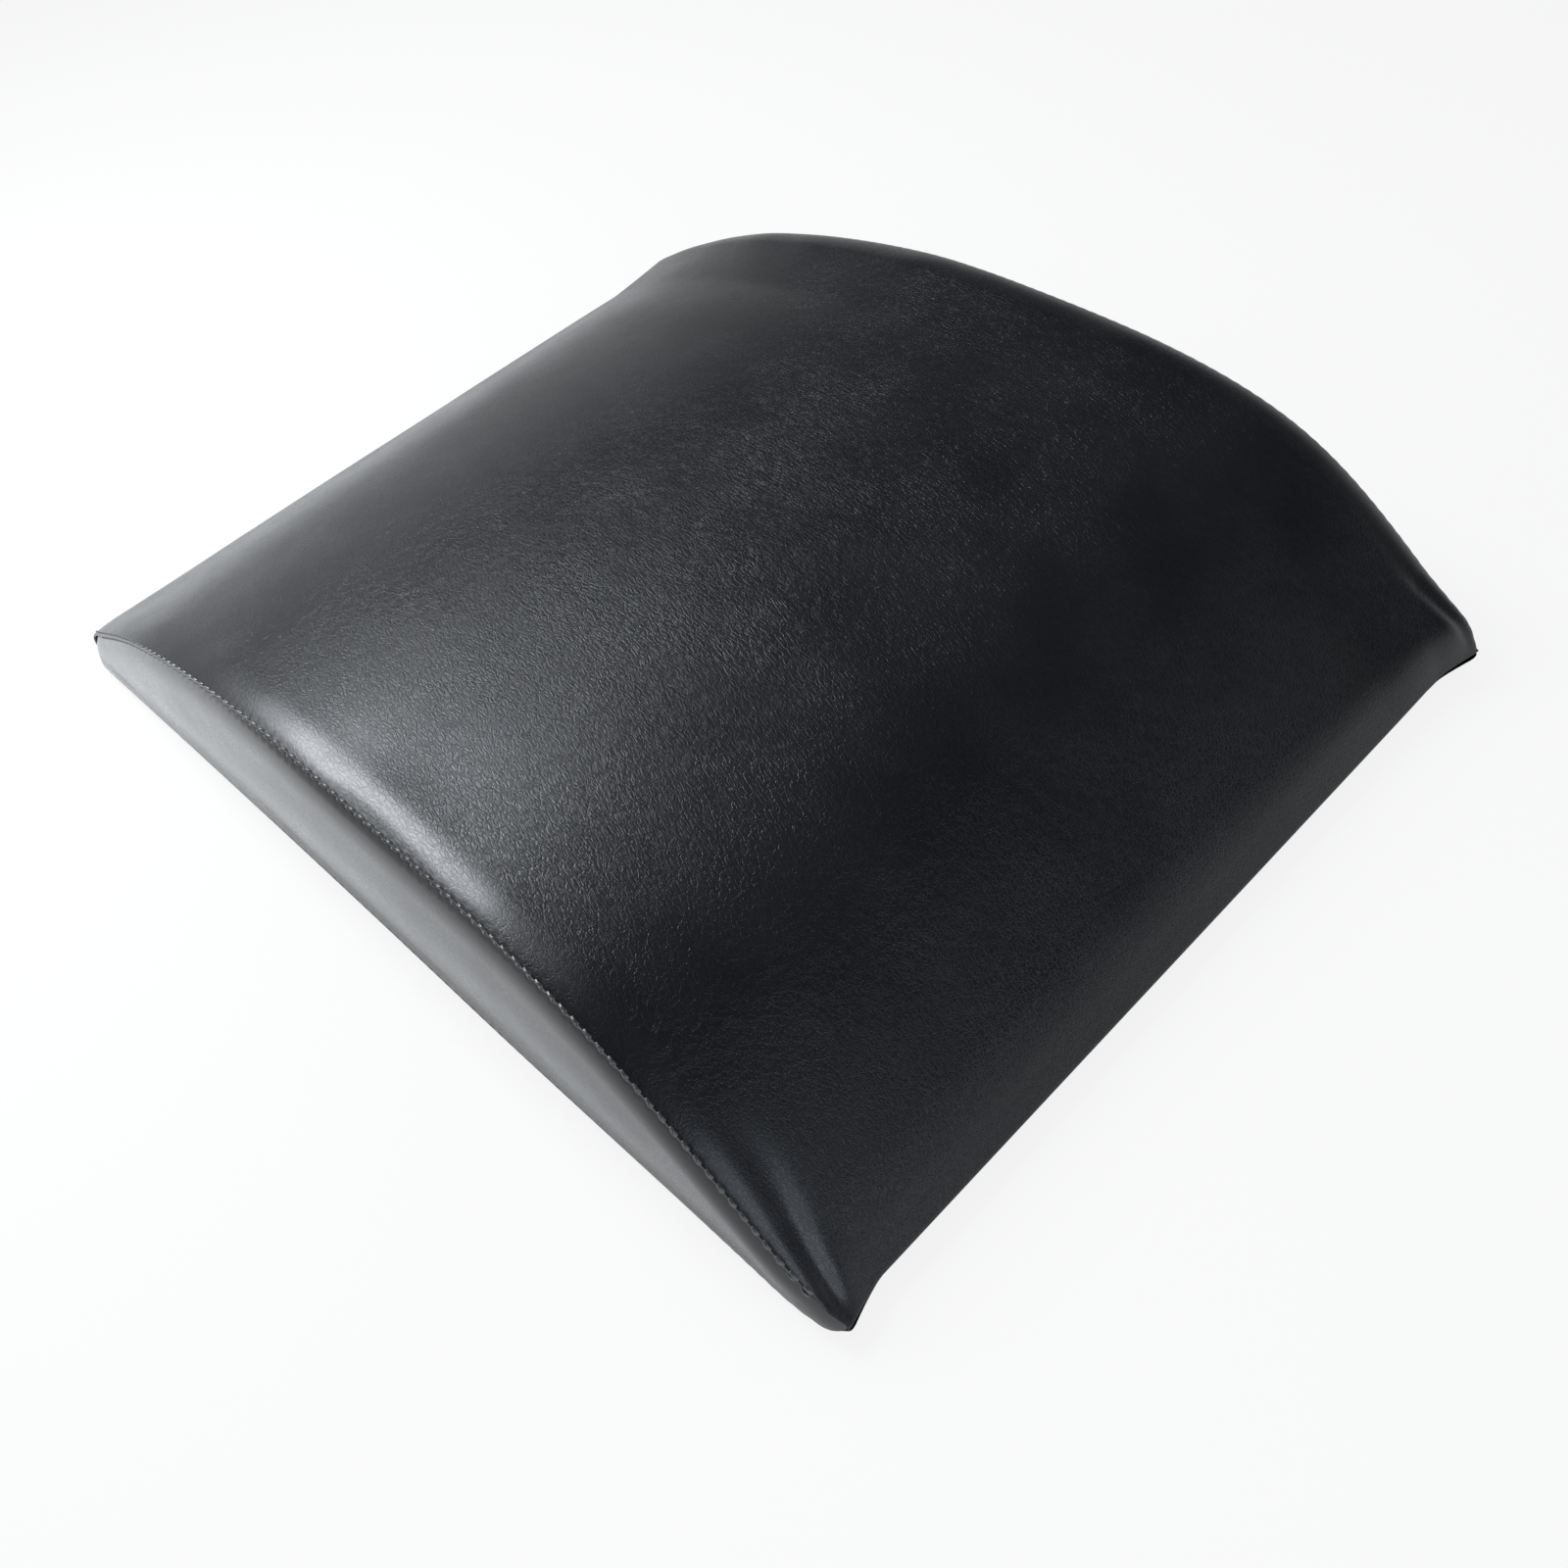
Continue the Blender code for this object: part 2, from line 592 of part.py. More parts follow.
def stop_section(side):
    """Clip section (y, z) that folds over the inner edge of one tape."""
    web, grip = side * (TAPE_EDGE - ZIP_GAP - STOP_WEB), side * COIL_OUTER
    slot = side * (TAPE_EDGE - ZIP_GAP)
    low, high = TAPE_BOTTOM - ZIP_GAP, TAPE_TOP + ZIP_GAP
    section = [(web, low - STOP_THICKNESS), (grip, low - STOP_THICKNESS), (grip, low)]
    section += [(slot, low), (slot, high), (grip, high)]
    section += [(grip, high + STOP_THICKNESS), (web, high + STOP_THICKNESS)]
    return [(ZIP_Y + y, z) for y, z in section]


def zip_top_stop(name, side):
    """Clip on one tape that ends the slider's run where the zip is shut."""
    return prism(name, stop_section(side), 0, ZIP_REACH - STOP_LENGTH, ZIP_REACH, METAL)


def zip_bottom_stop():
    """One wide clip that holds both tapes where the zip opens last."""
    right = stop_section(1)[1:-1]
    left = stop_section(-1)[-2:0:-1]
    low, high = -ZIP_REACH, -ZIP_REACH + STOP_LENGTH
    return prism("zip_bottom_stop", right + left, 0, low, high, METAL)


def build():
    """The whole mat."""
    for old in list(bpy.data.objects):
        bpy.data.objects.remove(old, do_unlink=True)
    foam_core()
    top_panel()
    side_panel("side_panel_left", -1)
    side_panel("side_panel_right", 1)
    bottom_panel("bottom_panel_front", front_rows)
    bottom_panel("bottom_panel_back", back_rows)
    zip_tape("zip_tape_front", -1)
    zip_tape("zip_tape_back", 1)
    zip_coil("zip_coil_front", -1, 0)
    zip_coil("zip_coil_back", 1, TOOTH_PITCH / 2)
    zip_slider()
    zip_pull_tab()
    zip_top_stop("zip_top_stop_front", -1)
    zip_top_stop("zip_top_stop_back", 1)
    zip_bottom_stop()


build()
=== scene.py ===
import math

import bpy
import bmesh
import numpy as np
from mathutils import Matrix, Vector, kdtree


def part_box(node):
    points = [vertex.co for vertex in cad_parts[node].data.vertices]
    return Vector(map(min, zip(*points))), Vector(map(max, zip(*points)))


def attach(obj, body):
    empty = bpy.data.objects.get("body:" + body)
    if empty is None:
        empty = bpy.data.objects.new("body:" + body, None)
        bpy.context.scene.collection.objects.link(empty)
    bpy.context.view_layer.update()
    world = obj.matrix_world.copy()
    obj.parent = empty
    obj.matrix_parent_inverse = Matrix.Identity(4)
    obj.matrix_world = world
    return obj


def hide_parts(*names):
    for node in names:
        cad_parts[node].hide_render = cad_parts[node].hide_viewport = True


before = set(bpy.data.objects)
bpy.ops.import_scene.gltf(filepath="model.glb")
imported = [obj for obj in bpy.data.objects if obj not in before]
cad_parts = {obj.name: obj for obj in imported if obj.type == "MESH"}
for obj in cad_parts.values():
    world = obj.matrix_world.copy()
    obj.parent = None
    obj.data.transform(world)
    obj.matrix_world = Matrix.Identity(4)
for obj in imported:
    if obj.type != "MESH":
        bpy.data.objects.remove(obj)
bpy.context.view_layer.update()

# Millimetres and degrees in Blender's own units, and lengths too small to divide by
MM = 0.001
DEGREE = math.pi / 180
TINY = 1e-12
TINY_MOVE = 1e-9

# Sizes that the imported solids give
top_low, top_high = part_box("top_panel")
slider_low, slider_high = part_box("zip_slider")
_, stop_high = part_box("zip_top_stop_back")
SOLID_EAR_REACH = 6 * MM
WIDTH = top_high.x - top_low.x
BACK_Y = top_high.y
FRONT_Y = top_low.y + SOLID_EAR_REACH
LENGTH = BACK_Y - FRONT_Y
HEIGHT = top_high.z
ZIP_Y = (slider_low.y + slider_high.y) / 2
ZIP_REACH = stop_high.x

# Cover: the same sizes as the solids have
COVER_THICKNESS = 1.2 * MM
SEAM_GAP = 0.4 * MM
EDGE_ROLL_WIDTH = 14 * MM
EDGE_ROLL_RISE = 4 * MM
CROWN_RISE = 1 * MM
END_ROLL_LENGTH = 25 * MM
NOSE_LENGTH = 9 * MM
FRONT_SEAM_HEIGHT = 5.6 * MM
TOE_LENGTH = 14 * MM
BACK_SEAM_INSET = 3 * MM
ZIP_OPENING = 10.4 * MM
OPENING_RAMP = 4 * MM
DISH_DEPTH = 4.7 * MM
DISH_FLAT = 13 * MM
DISH_SLOPE = 16 * MM
SEAM_SHARES = (
    (0.082, 0.475),
    (0.175, 0.800),
    (0.300, 0.965),
    (0.445, 1.000),
    (0.585, 0.975),
    (0.720, 0.845),
    (0.860, 0.600),
    (0.965, 0.310),
    (1.000, 0.135),
)
BACK_SEAM_Y = BACK_Y - BACK_SEAM_INSET
SEAM_HEIGHT = HEIGHT - EDGE_ROLL_RISE - CROWN_RISE
FRONT_TOP = FRONT_SEAM_HEIGHT + SEAM_GAP / 2 + COVER_THICKNESS
FRONT_BOTTOM = FRONT_SEAM_HEIGHT - SEAM_GAP / 2 - COVER_THICKNESS
FLOOR_SEAM = COVER_THICKNESS + SEAM_GAP

# Cover: how its softer form differs from the solids
SIDE_DRAW = 1.2 * MM
FAR_SIDE_DRAW = -1.1 * MM
FAR_ROLL_EXTRA = 2.9 * MM
FAR_END_LENGTH = 14 * MM
BACK_FULLNESS = 0.3 * MM
BACK_LEAN = 1.1 * MM
BACK_LEAN_START = 0.62
BACK_LEAN_RAMP = 0.24
EAR_REACH = 4.8 * MM
EAR_SIZE = 20 * MM
EAR_TUCK = 2.2 * MM
EAR_BLUNT = 2.1 * MM
EAR_BLUNT_SIZE = 3 * EAR_BLUNT
EAR_POWER = 1.3
RIM_INSET = 0.7 * MM
FOOT_SPREAD = 1.8 * MM
FOOT_SPREAD_LENGTH = 150 * MM
FRONT_EDGE_RADIUS = 0.9 * MM
FRONT_FOLD_FADE = 12 * MM
FRONT_FOLD_START = 0.5
FRONT_HEM_INSET = 0.8 * MM
FRONT_HEM_CORNER = 32 * MM
FRONT_HEM_RAMP = 28 * MM
BASE_CORNER = 8 * MM
BASE_CORNER_TUCK = 1.1 * MM
BASE_DRAW_START = 0.8
BASE_DRAW_RAMP = 0.2
BASE_LIFT = 0.7 * MM
BASE_LIFT_REACH = 4 * MM

# Leather sheet: folded edges with their angles in radians, turned-in seams and the sides' belly
SHEET = 0.3 * MM
LIP_RADIUS = 0.4 * MM
HEM_RADIUS = 0.55 * MM
FRONT_CURL = 2.6
BACK_CURL = 1.2
LIP_STEPS = 4
CORNER_LENGTH = 2.5 * MM
LIP_TURN = 1.5 * MM
LIP_REACH = 2.0 * MM
SEAM_TURN = 3.2 * MM
SEAM_TURN_REACH = 10.5 * MM
SEAM_TURN_POWER = 2.3
FOOT_TURN = 0.5 * MM
FOOT_TURN_REACH = 5 * MM
SIDE_BELLY = 3.8 * MM
BELLY_RISE = 0.34
BELLY_RISE_Y = -5 * MM
BELLY_RISE_LENGTH = 75 * MM
SHALLOW_HEIGHT = 20 * MM
TALL_HEIGHT = 60 * MM

# Crease behind the ears, and slow waves along the side seams
CREASE_DEPTH = 1.3 * MM
CREASE_FADE_START = 8 * MM
CREASE_FADE = 64 * MM
CREASE_AT_EAR = 0.25
CREASE_RISE = 14 * MM
CREASE_TURN = 46 * MM
CREASE_PLACE = 5.5 * MM
CREASE_SHIFT = 7.0 * MM
CREASE_WIDTH = 2.8 * MM
CREASE_WIDENING = 1.6 * MM
WAVE_LENGTHS = (83 * MM, 47 * MM, 29 * MM)
WAVE_HEIGHTS = (0.18 * MM, 0.10 * MM, 0.05 * MM)
WAVE_PHASE = 0.6
WAVE_PHASE_STEP = 1.7
WAVE_SHIFT = 40 * MM
WAVE_START = 50 * MM
WAVE_RAMP = 40 * MM
WAVE_PLACE = 10 * MM
WAVE_REACH = 9 * MM
WAVE_EASE = 5 * MM

# Stitches on both sides of the side seam
STITCH_PITCH = 4.4 * MM
STITCH_LENGTH = 2.0 * MM
STITCH_RADIUS = 0.50 * MM
STITCH_SINK = 0.15 * MM
STITCH_ROW = 1.6 * MM
STITCH_START = 12 * MM
STITCH_END = 20 * MM
STITCH_BOW = 0.8
PUCKER = 0.16 * MM
PUCKER_PLACE = 0.5 * MM
PUCKER_REACH = 1.6 * MM
PUCKER_POWER = 0.8

# Stitches along the zip, and the folds beside it: each has a height, a place and a reach
ZIP_STITCH_PITCH = 3 * MM
ZIP_STITCH_GAP = 0.7 * MM
ZIP_STITCH_RADIUS = 0.2 * MM
ZIP_STITCH_LIFT = 0.12 * MM
ZIP_STITCH_MARGIN = 2 * MM
ZIP_STITCH_ROW = 3 * MM
ZIP_GROOVE = (-0.30 * MM, ZIP_STITCH_ROW, 0.7 * MM)
ZIP_LIP = (0.12 * MM, 1.4 * MM, 1.0 * MM)
ZIP_WAVES = (0.08 * MM, 2.6 * MM, 1.6 * MM)

# Foam under the cover
FOAM_VOXEL = 3 * MM
FOAM_INSET = 1.0 * MM
FOAM_WAVE_HEIGHT = 0.2 * MM
FOAM_WAVE_SIZES = (3.1 * MM, 2.7 * MM)

# Mesh counts
PROFILE_ROWS = 640
HALF_COLUMNS = 52
SIDE_ROWS = 34
COLUMN_POWER = 1.8
SIDE_POWER = 1.6
SWELL_ROWS = 120
SWELL_COLUMNS = 50
SPLINE_SAMPLES = 6
PAD_HALF_COLUMNS = 24
SEAM_TREE_POINTS = 80
UNDERSIDE_COLUMNS = (40, 9, 22)
BASE_FRONT_STEPS = 110
BASE_BACK_STEPS = 44
BASE_POWER = 1.5
THREAD_SIDES = 6
THREAD_RINGS = 3
THREAD_PARTS = 4

# Simulated swelling of the cover
SWELL_VOXEL = 5 * MM
SWELL_FRAMES = 20
SWELL_INSET = 2.0 * MM
SWELL_CAP = 2.5 * MM
SWELL_PASSES = 12
SWELL_NEIGHBOURS = 8
SWELL_EASE = 8 * MM
SWELL_FABRIC = {
    "quality": 6, "mass": 0.25, "tension_stiffness": 20, "compression_stiffness": 12,
    "bending_stiffness": 0.6, "use_pressure": True, "uniform_pressure_force": 4,
    "vertex_group_mass": "held", "pin_stiffness": 1,
}
HOLD_NEAR = 3 * MM
HOLD_FAR = 16 * MM

# Detail of the noise in the finishes
PLAIN_DETAIL = 2.0
FINE_DETAIL = 3.0
CLOUD_DETAIL = 4.0

# Leather: colours, roughness, depth of the grain and gloss of each part of the cover
TOP_LEATHER = ((0.0078, 0.0090, 0.0124), (0.0118, 0.0132, 0.0174), 0.34, 0.12 * MM)
TOP_GLOSS = {"IOR": 1.5, "Coat_Weight": 0.4, "Coat_Roughness": 0.24, "Coat_IOR": 1.5}
# The sides are the top's own black leather with a lighter base colour: painted light, for the
# bright sheen that the sides show at a grazing view
SIDE_LEATHER_PAINTED_LIGHTER = ((0.018, 0.018, 0.018), (0.024, 0.024, 0.024), 0.28, 0.03 * MM)
SIDE_GLOSS = {"IOR": 1.55, "Coat_Weight": 0.6, "Coat_Roughness": 0.12, "Coat_IOR": 1.5}
BASE_LEATHER = ((0.012, 0.012, 0.013), (0.018, 0.018, 0.019), 0.50, 0.08 * MM)
BASE_GLOSS = {"IOR": 1.5}

# Grain of the leather: sizes, groove widths, shares of the height, and ranges with what they become
WARP_SIZE = 4 * MM
WARP_SHIFT = 2.4 * MM
WRINKLE_STRETCH = 0.36
WRINKLE_SIZE = 1.15 * MM
WRINKLE_GROOVE = 0.16
WRINKLE_SHARE = 0.55
FINE_WRINKLE_SIZE = 0.65 * MM
FINE_WRINKLE_GROOVE = 0.22
FINE_WRINKLE_SHARE = 0.25
PEBBLE_SIZE = 0.45 * MM
PEBBLE_SHARE = 0.15
PORE_SIZE = 0.25 * MM
PORE_SHARE = 0.10
PATCH_SIZE = 30 * MM
PATCH_RANGE = (0.36, 0.66, 0.5, 1.0)
SMOOTH_EDGE = (WIDTH / 2 - 16 * MM, WIDTH / 2 - 9 * MM, 1.0, 0.5)
CLOUD_SIZE = 60 * MM
CLOUD_RANGE = (0.35, 0.65)
WEAR_SIZE = 22 * MM
WEAR_RANGE = (0.3, 0.7)
WEAR_POLISH = 0.02
WEAR_DULLING = 0.03
GROOVE_DULLING = 0.06

# Foam, tape, coils, metal and thread: colours, roughness, and sizes and depths of their texture
FOAM_COLOUR = (0.13, 0.13, 0.14)
# Darker colour in the foam's pores: painted shade in the pits
FOAM_PORE_SHADE_COLOURS = ((0.07, 0.07, 0.08), (0.17, 0.17, 0.18))
FOAM_ROUGHNESS = 0.95
FOAM_PORE = 1.1 * MM
FOAM_PORE_SHADE_RANGE = (0.1, 0.6)
FOAM_FINE = 0.5 * MM
FOAM_FINE_SHARE = 0.4
FOAM_DEPTH = 0.3 * MM
TAPE_COLOUR = (0.012, 0.012, 0.013)
# The tape is darker between its ribs: painted shade in the weave's hollows
TAPE_RIB_SHADE_COLOURS = ((0.007, 0.007, 0.008), (0.020, 0.020, 0.022))
TAPE_ROUGHNESS = 0.85
TAPE_SHEEN = {"Sheen_Weight": 0.3, "Sheen_Roughness": 0.5}
TAPE_RIBS = (("X", 4.4 * MM, 0.6), ("Y", 5.6 * MM, 0.4))
TAPE_FIBRE = 0.15 * MM
TAPE_FIBRE_SHARE = 0.3
TAPE_DEPTH = 0.15 * MM
NYLON_COLOUR = (0.02, 0.02, 0.022)
NYLON_COLOURS = ((0.014, 0.014, 0.016), (0.030, 0.030, 0.033))
NYLON_ROUGHNESS = 0.42
NYLON_WEAR_SIZE = 3 * MM
NYLON_WEAR = (0.3, 0.7, 0.32, 0.55)
NYLON_GRAIN = 0.12 * MM
NYLON_DEPTH = 0.03 * MM
METAL_COLOUR = (0.30, 0.30, 0.31)
METAL_COLOURS = ((0.20, 0.20, 0.21), (0.38, 0.38, 0.40))
METAL_ROUGHNESS = 0.28
METAL_SCRATCH = 0.35 * MM
METAL_SCRATCH_STRETCH = 0.08
METAL_DEPTH = 0.02 * MM
METAL_CLOUD = 2.5 * MM
METAL_WEAR = (0.3, 0.7, 0.20, 0.42)
THREAD_COLOUR = (0.03, 0.03, 0.033)
# The black thread is given a dark grey colour: painted highlight, for the glints on the stitches
THREAD_COLOURS_PAINTED_LIGHTER = ((0.050, 0.050, 0.054), (0.080, 0.080, 0.086))
THREAD_ROUGHNESS = 0.34
THREAD_GLOSS = {"IOR": 1.6, "Coat_Weight": 1.0, "Coat_Roughness": 0.25, "Coat_IOR": 1.6}
THREAD_TWIST = 4 * MM
THREAD_DEPTH = 0.08 * MM
THREAD_CLOUD = 6 * MM

# Camera of the photograph; its sensor and lens are in millimetres
CAMERA_AZIMUTH = -37.04 * DEGREE
CAMERA_ELEVATION = 48.83 * DEGREE
CAMERA_ROLL = -10.63 * DEGREE
CAMERA_DISTANCE = 485.1 * MM
CAMERA_TARGET = Vector((-29.3 * MM, -51.0 * MM, 0))
CAMERA_CLIP = CAMERA_DISTANCE / 50
SENSOR = 36
LENS = 34.39

# Floor, surround and lamps; a lamp has a name, place, target, size, power and colour
FLOOR_SIZE = 6.0
FLOOR_GAP = 0.2 * MM
FLOOR_COLOUR = (0.86, 0.86, 0.86, 1)
FLOOR_ROUGHNESS = 0.7
FLOOR_WHITE = 0.85
FLOOR_WHITE_IN_GLOSS = 0.03
WORLD_STRENGTH = 0.32
BACKDROP_LEVEL = 0.70
BACKDROP_TOP_LOW = 0.0
BACKDROP_TOP_HIGH = 0.34
CEILING_LEVEL = 0.02
DAYLIGHT = (0.92, 0.96, 1.0)
SKYLIGHT = (0.80, 0.89, 1.0)
LAMPS = (
    ("window", (-0.13, 0.49, 0.665), (-0.14, -0.02, 0.07), (0.21, 0.46), 5.3, DAYLIGHT),
    ("side_window", (-0.39, 0.40, 0.36), (-0.14, 0, 0.07), (0.26, 0.22), 0.75, DAYLIGHT),
    ("front_card", (-0.25, -0.90, 0.49), (-0.14, -0.17, 0.03), (0.40, 0.40), 1.3, SKYLIGHT),
)


# Curves and surfaces of the cover, as the solids have them

def unit(vectors):
    """Vectors of length one, along the last axis."""
    return vectors / np.maximum(np.linalg.norm(vectors, axis=-1, keepdims=True), TINY)


def running_length(points):
    """Length along a line of points, from its start to each of them."""
    return np.concatenate([[0], np.cumsum(np.linalg.norm(np.diff(points, axis=0), axis=1))])


def smooth_step(value):
    """Eased ramp from 0 to 1."""
    value = np.clip(value, 0, 1)
    return value * value * (3 - 2 * value)


def bump(distance, centre, reach):
    """Soft hump of height 1 round a distance."""
    return np.exp(-((distance - centre) / reach) ** 2)


def spline(points, count):
    """Natural cubic spline through the points, as evenly spaced samples of its parameter."""
    points = np.array(points)
    knots = running_length(points)
    step = np.diff(knots)
    last = len(points) - 1
    matrix = np.eye(len(points))
    right = np.zeros_like(points)
    for i in range(1, last):
        matrix[i, i - 1:i + 2] = step[i - 1], 2 * (step[i - 1] + step[i]), step[i]
        rise_after = (points[i + 1] - points[i]) / step[i]
        rise_before = (points[i] - points[i - 1]) / step[i - 1]
        right[i] = 6 * (rise_after - rise_before)
    bend = np.linalg.solve(matrix, right)
    place = np.linspace(0, knots[-1], count)
    k = np.clip(np.searchsorted(knots, place, side="right") - 1, 0, last - 1)
    width = step[k][:, None]
    left = (knots[k + 1] - place)[:, None]
    after = (place - knots[k])[:, None]
    curved = (bend[k] * left ** 3 + bend[k + 1] * after ** 3) / (6 * width)
    from_left = (points[k] / width - bend[k] * width / 6) * left
    from_right = (points[k + 1] / width - bend[k + 1] * width / 6) * after
    return curved + from_left + from_right


class Seam:
    """Side seam as evenly spaced rows: points (y, z), outward normals and running length."""

    def __init__(self, count):
        points = [(FRONT_Y, FRONT_TOP)]
        points += [(FRONT_Y + a * LENGTH, b * SEAM_HEIGHT) for a, b in SEAM_SHARES]
        points += [(BACK_SEAM_Y, FLOOR_SEAM)]
        fine = spline(points, SPLINE_SAMPLES * count)
        length = running_length(fine)
        self.place = np.linspace(0, length[-1], count)
        self.points = np.stack([np.interp(self.place, length, fine[:, k]) for k in (0, 1)], axis=1)
        slope = np.gradient(fine, length, axis=0)
        slope = np.stack([np.interp(self.place, length, slope[:, k]) for k in (0, 1)], axis=1)
        slope = unit(slope)
        self.normals = np.stack([-slope[:, 1], slope[:, 0]], axis=1)
        self.length = length[-1]


def half_width(y, side):
    """Half the width at the side seam: the sides draw in between the corners."""
    along = np.clip((y - FRONT_Y) / LENGTH, 0, 1)
    draw = np.where(np.asarray(side) > 0, FAR_SIDE_DRAW, SIDE_DRAW)
    return WIDTH / 2 - draw * np.sin(math.pi * along)


def pinch(points):
    """Draw the points near the front corners out into the ears; the left one is tucked in."""
    x, y = points[..., 0], points[..., 1]
    away = np.hypot(WIDTH / 2 - np.abs(x), y - FRONT_Y)
    near = np.clip(1 - away / EAR_SIZE, 0, 1)
    pinched = points.copy()
    blunt = EAR_BLUNT * np.clip(1 - away / EAR_BLUNT_SIZE, 0, 1) ** 2
    pinched[..., 1] += blunt - EAR_REACH * near ** EAR_POWER
    pinched[..., 0] += np.where(x < 0, EAR_TUCK, 0) * near ** 2 - np.sign(x) * blunt
    return pinched


def dish(x, y):
    """Height of the underside above the floor, where it is drawn up round the zip."""
    past_end = np.maximum(np.abs(x) - ZIP_REACH, 0)
    away = np.hypot(past_end, y - ZIP_Y)
    return DISH_DEPTH * (1 - smooth_step((away - DISH_FLAT) / DISH_SLOPE))


def foot_spread(y):
    """How far the foot of the sides stands out beyond their seams."""
    return FOOT_SPREAD * smooth_step((y - FRONT_Y) / FOOT_SPREAD_LENGTH)


def toe(y):
    """Height of the underside above the floor near the front seam."""
    near = np.clip(1 - (y - FRONT_Y) / TOE_LENGTH, 0, 1)
    return FRONT_BOTTOM * near ** 2


def top_grid(seam, half_columns, inset=0.0):
    """Outer face of the top panel: rows along the seam, columns from the left side to the right.

    Also gives each point's distance from the nearer side seam.
    """
    share = np.linspace(0, 1, half_columns + 1) ** COLUMN_POWER
    distance = np.concatenate([share, share[-2::-1]]) * WIDTH / 2
    side = np.where(np.arange(len(distance)) <= half_columns, -1.0, 1.0)
    roll = np.sqrt(1 - (1 - np.clip(distance / EDGE_ROLL_WIDTH, 0, 1)) ** 2)
    half = half_width(seam.points[:, :1], side)
    turned_in = LIP_TURN * np.clip(1 - distance / LIP_REACH, 0, 1) ** 2
    across = side * (half * (1 - distance / (WIDTH / 2)) - turned_in)
    to_end = np.minimum(seam.place, seam.length - seam.place - NOSE_LENGTH)
    ramp = END_ROLL_LENGTH + (FAR_END_LENGTH - END_ROLL_LENGTH) * np.clip(2 * across / WIDTH, 0, 1)
    swell = np.sin(math.pi / 2 * np.clip(to_end[:, None] / ramp, 0, 1))
    crown = CROWN_RISE * (1 - (2 * across / WIDTH) ** 2)
    fuller = FAR_ROLL_EXTRA * roll * (1 - 0.5 * np.clip(distance / EDGE_ROLL_WIDTH - 1, 0, 2))
    at_back = smooth_step((seam.place[:, None] / seam.length - BACK_LEAN_START) / BACK_LEAN_RAMP)
    lean = (BACK_FULLNESS + BACK_LEAN * 2 * across / WIDTH) * at_back
    rise = swell * (EDGE_ROLL_RISE * roll + crown + lean + np.where(side > 0, fuller, 0)) - inset
    y = seam.points[:, :1] + seam.normals[:, :1] * rise
    z = seam.points[:, 1:] + seam.normals[:, 1:] * rise
    grid = pinch(np.stack([across * (1 - inset / (WIDTH / 2)), y, z], axis=-1))
    return grid, np.broadcast_to(distance, grid.shape[:2])


def floor_track(seam, low, high):
    """Evenly advancing y along the floor under the rows of the seam."""
    forward = np.maximum.accumulate(seam.points[:, 0]) - seam.points[0, 0]
    spread = forward + np.arange(len(forward)) * LENGTH / len(forward) ** 2
    return low + (high - low) * spread / spread[-1]


# Mesh helpers

def make_object(name, bm):
    """Close off a bmesh as a smooth object with outward faces."""
    bmesh.ops.recalc_face_normals(bm, faces=bm.faces)
    mesh = bpy.data.meshes.new(name)
    bm.to_mesh(mesh)
    bm.free()
    mesh.shade_smooth()
    piece = bpy.data.objects.new(name, mesh)
    bpy.context.scene.collection.objects.link(piece)
    return piece


def with_even_faces(piece, size):
    """Give a piece even faces of this size."""
    remesh = piece.modifiers.new("even faces", "REMESH")
    remesh.mode = "VOXEL"
    remesh.voxel_size = size
    graph = bpy.context.evaluated_depsgraph_get()
    mesh = bpy.data.meshes.new_from_object(piece.evaluated_get(graph))
    piece.modifiers.clear()
    piece.data = mesh
    return piece


def points_of(mesh, attribute="co"):
    """Places or normals of a mesh's points."""
    values = np.zeros(len(mesh.vertices) * 3)
    mesh.vertices.foreach_get(attribute, values)
    return values.reshape(-1, 3)


def search_tree(points):
    """Search tree of points, which keeps their numbers."""
    tree = kdtree.KDTree(len(points))
    for i, point in enumerate(points):
        tree.insert(point, i)
    tree.balance()
    return tree


def sheet_solid(name, outer, inner):
    """Closed body between two grids of points that have the same rows and columns."""
    rows, columns = outer.shape[:2]
    bm = bmesh.new()
    skin = [[bm.verts.new(outer[i, j]) for j in range(columns)] for i in range(rows)]
    lining = [[bm.verts.new(inner[i, j]) for j in range(columns)] for i in range(rows)]
    for i in range(rows - 1):
        for j in range(columns - 1):
            for grid in (skin, lining):
                bm.faces.new((grid[i][j], grid[i + 1][j], grid[i + 1][j + 1], grid[i][j + 1]))
    rim = [(i, 0) for i in range(rows)]
    rim += [(rows - 1, j) for j in range(1, columns)]
    rim += [(i, columns - 1) for i in range(rows - 2, -1, -1)]
    rim += [(0, j) for j in range(columns - 2, 0, -1)]
    for (a, b), (c, d) in zip(rim, rim[1:] + rim[:1]):
        bm.faces.new((skin[a][b], skin[c][d], lining[c][d], lining[a][b]))
    return make_object(name, bm)


def grid_normals(grid, outward):
    """Normals of a grid of points, turned so that the middle one looks outward."""
    normals = unit(np.cross(np.gradient(grid, axis=0), np.gradient(grid, axis=1)))
    middle = normals[normals.shape[0] // 2, normals.shape[1] // 2]
    return normals if np.dot(middle, outward) > 0 else -normals


def front_fold(edge):
    """Radius of the fold along the front edge, which is tight at the ears."""
    inward = (WIDTH / 2 - np.abs(edge[:, :1])) / FRONT_FOLD_FADE
    return LIP_RADIUS + (FRONT_EDGE_RADIUS - LIP_RADIUS) * smooth_step(inward - FRONT_FOLD_START)


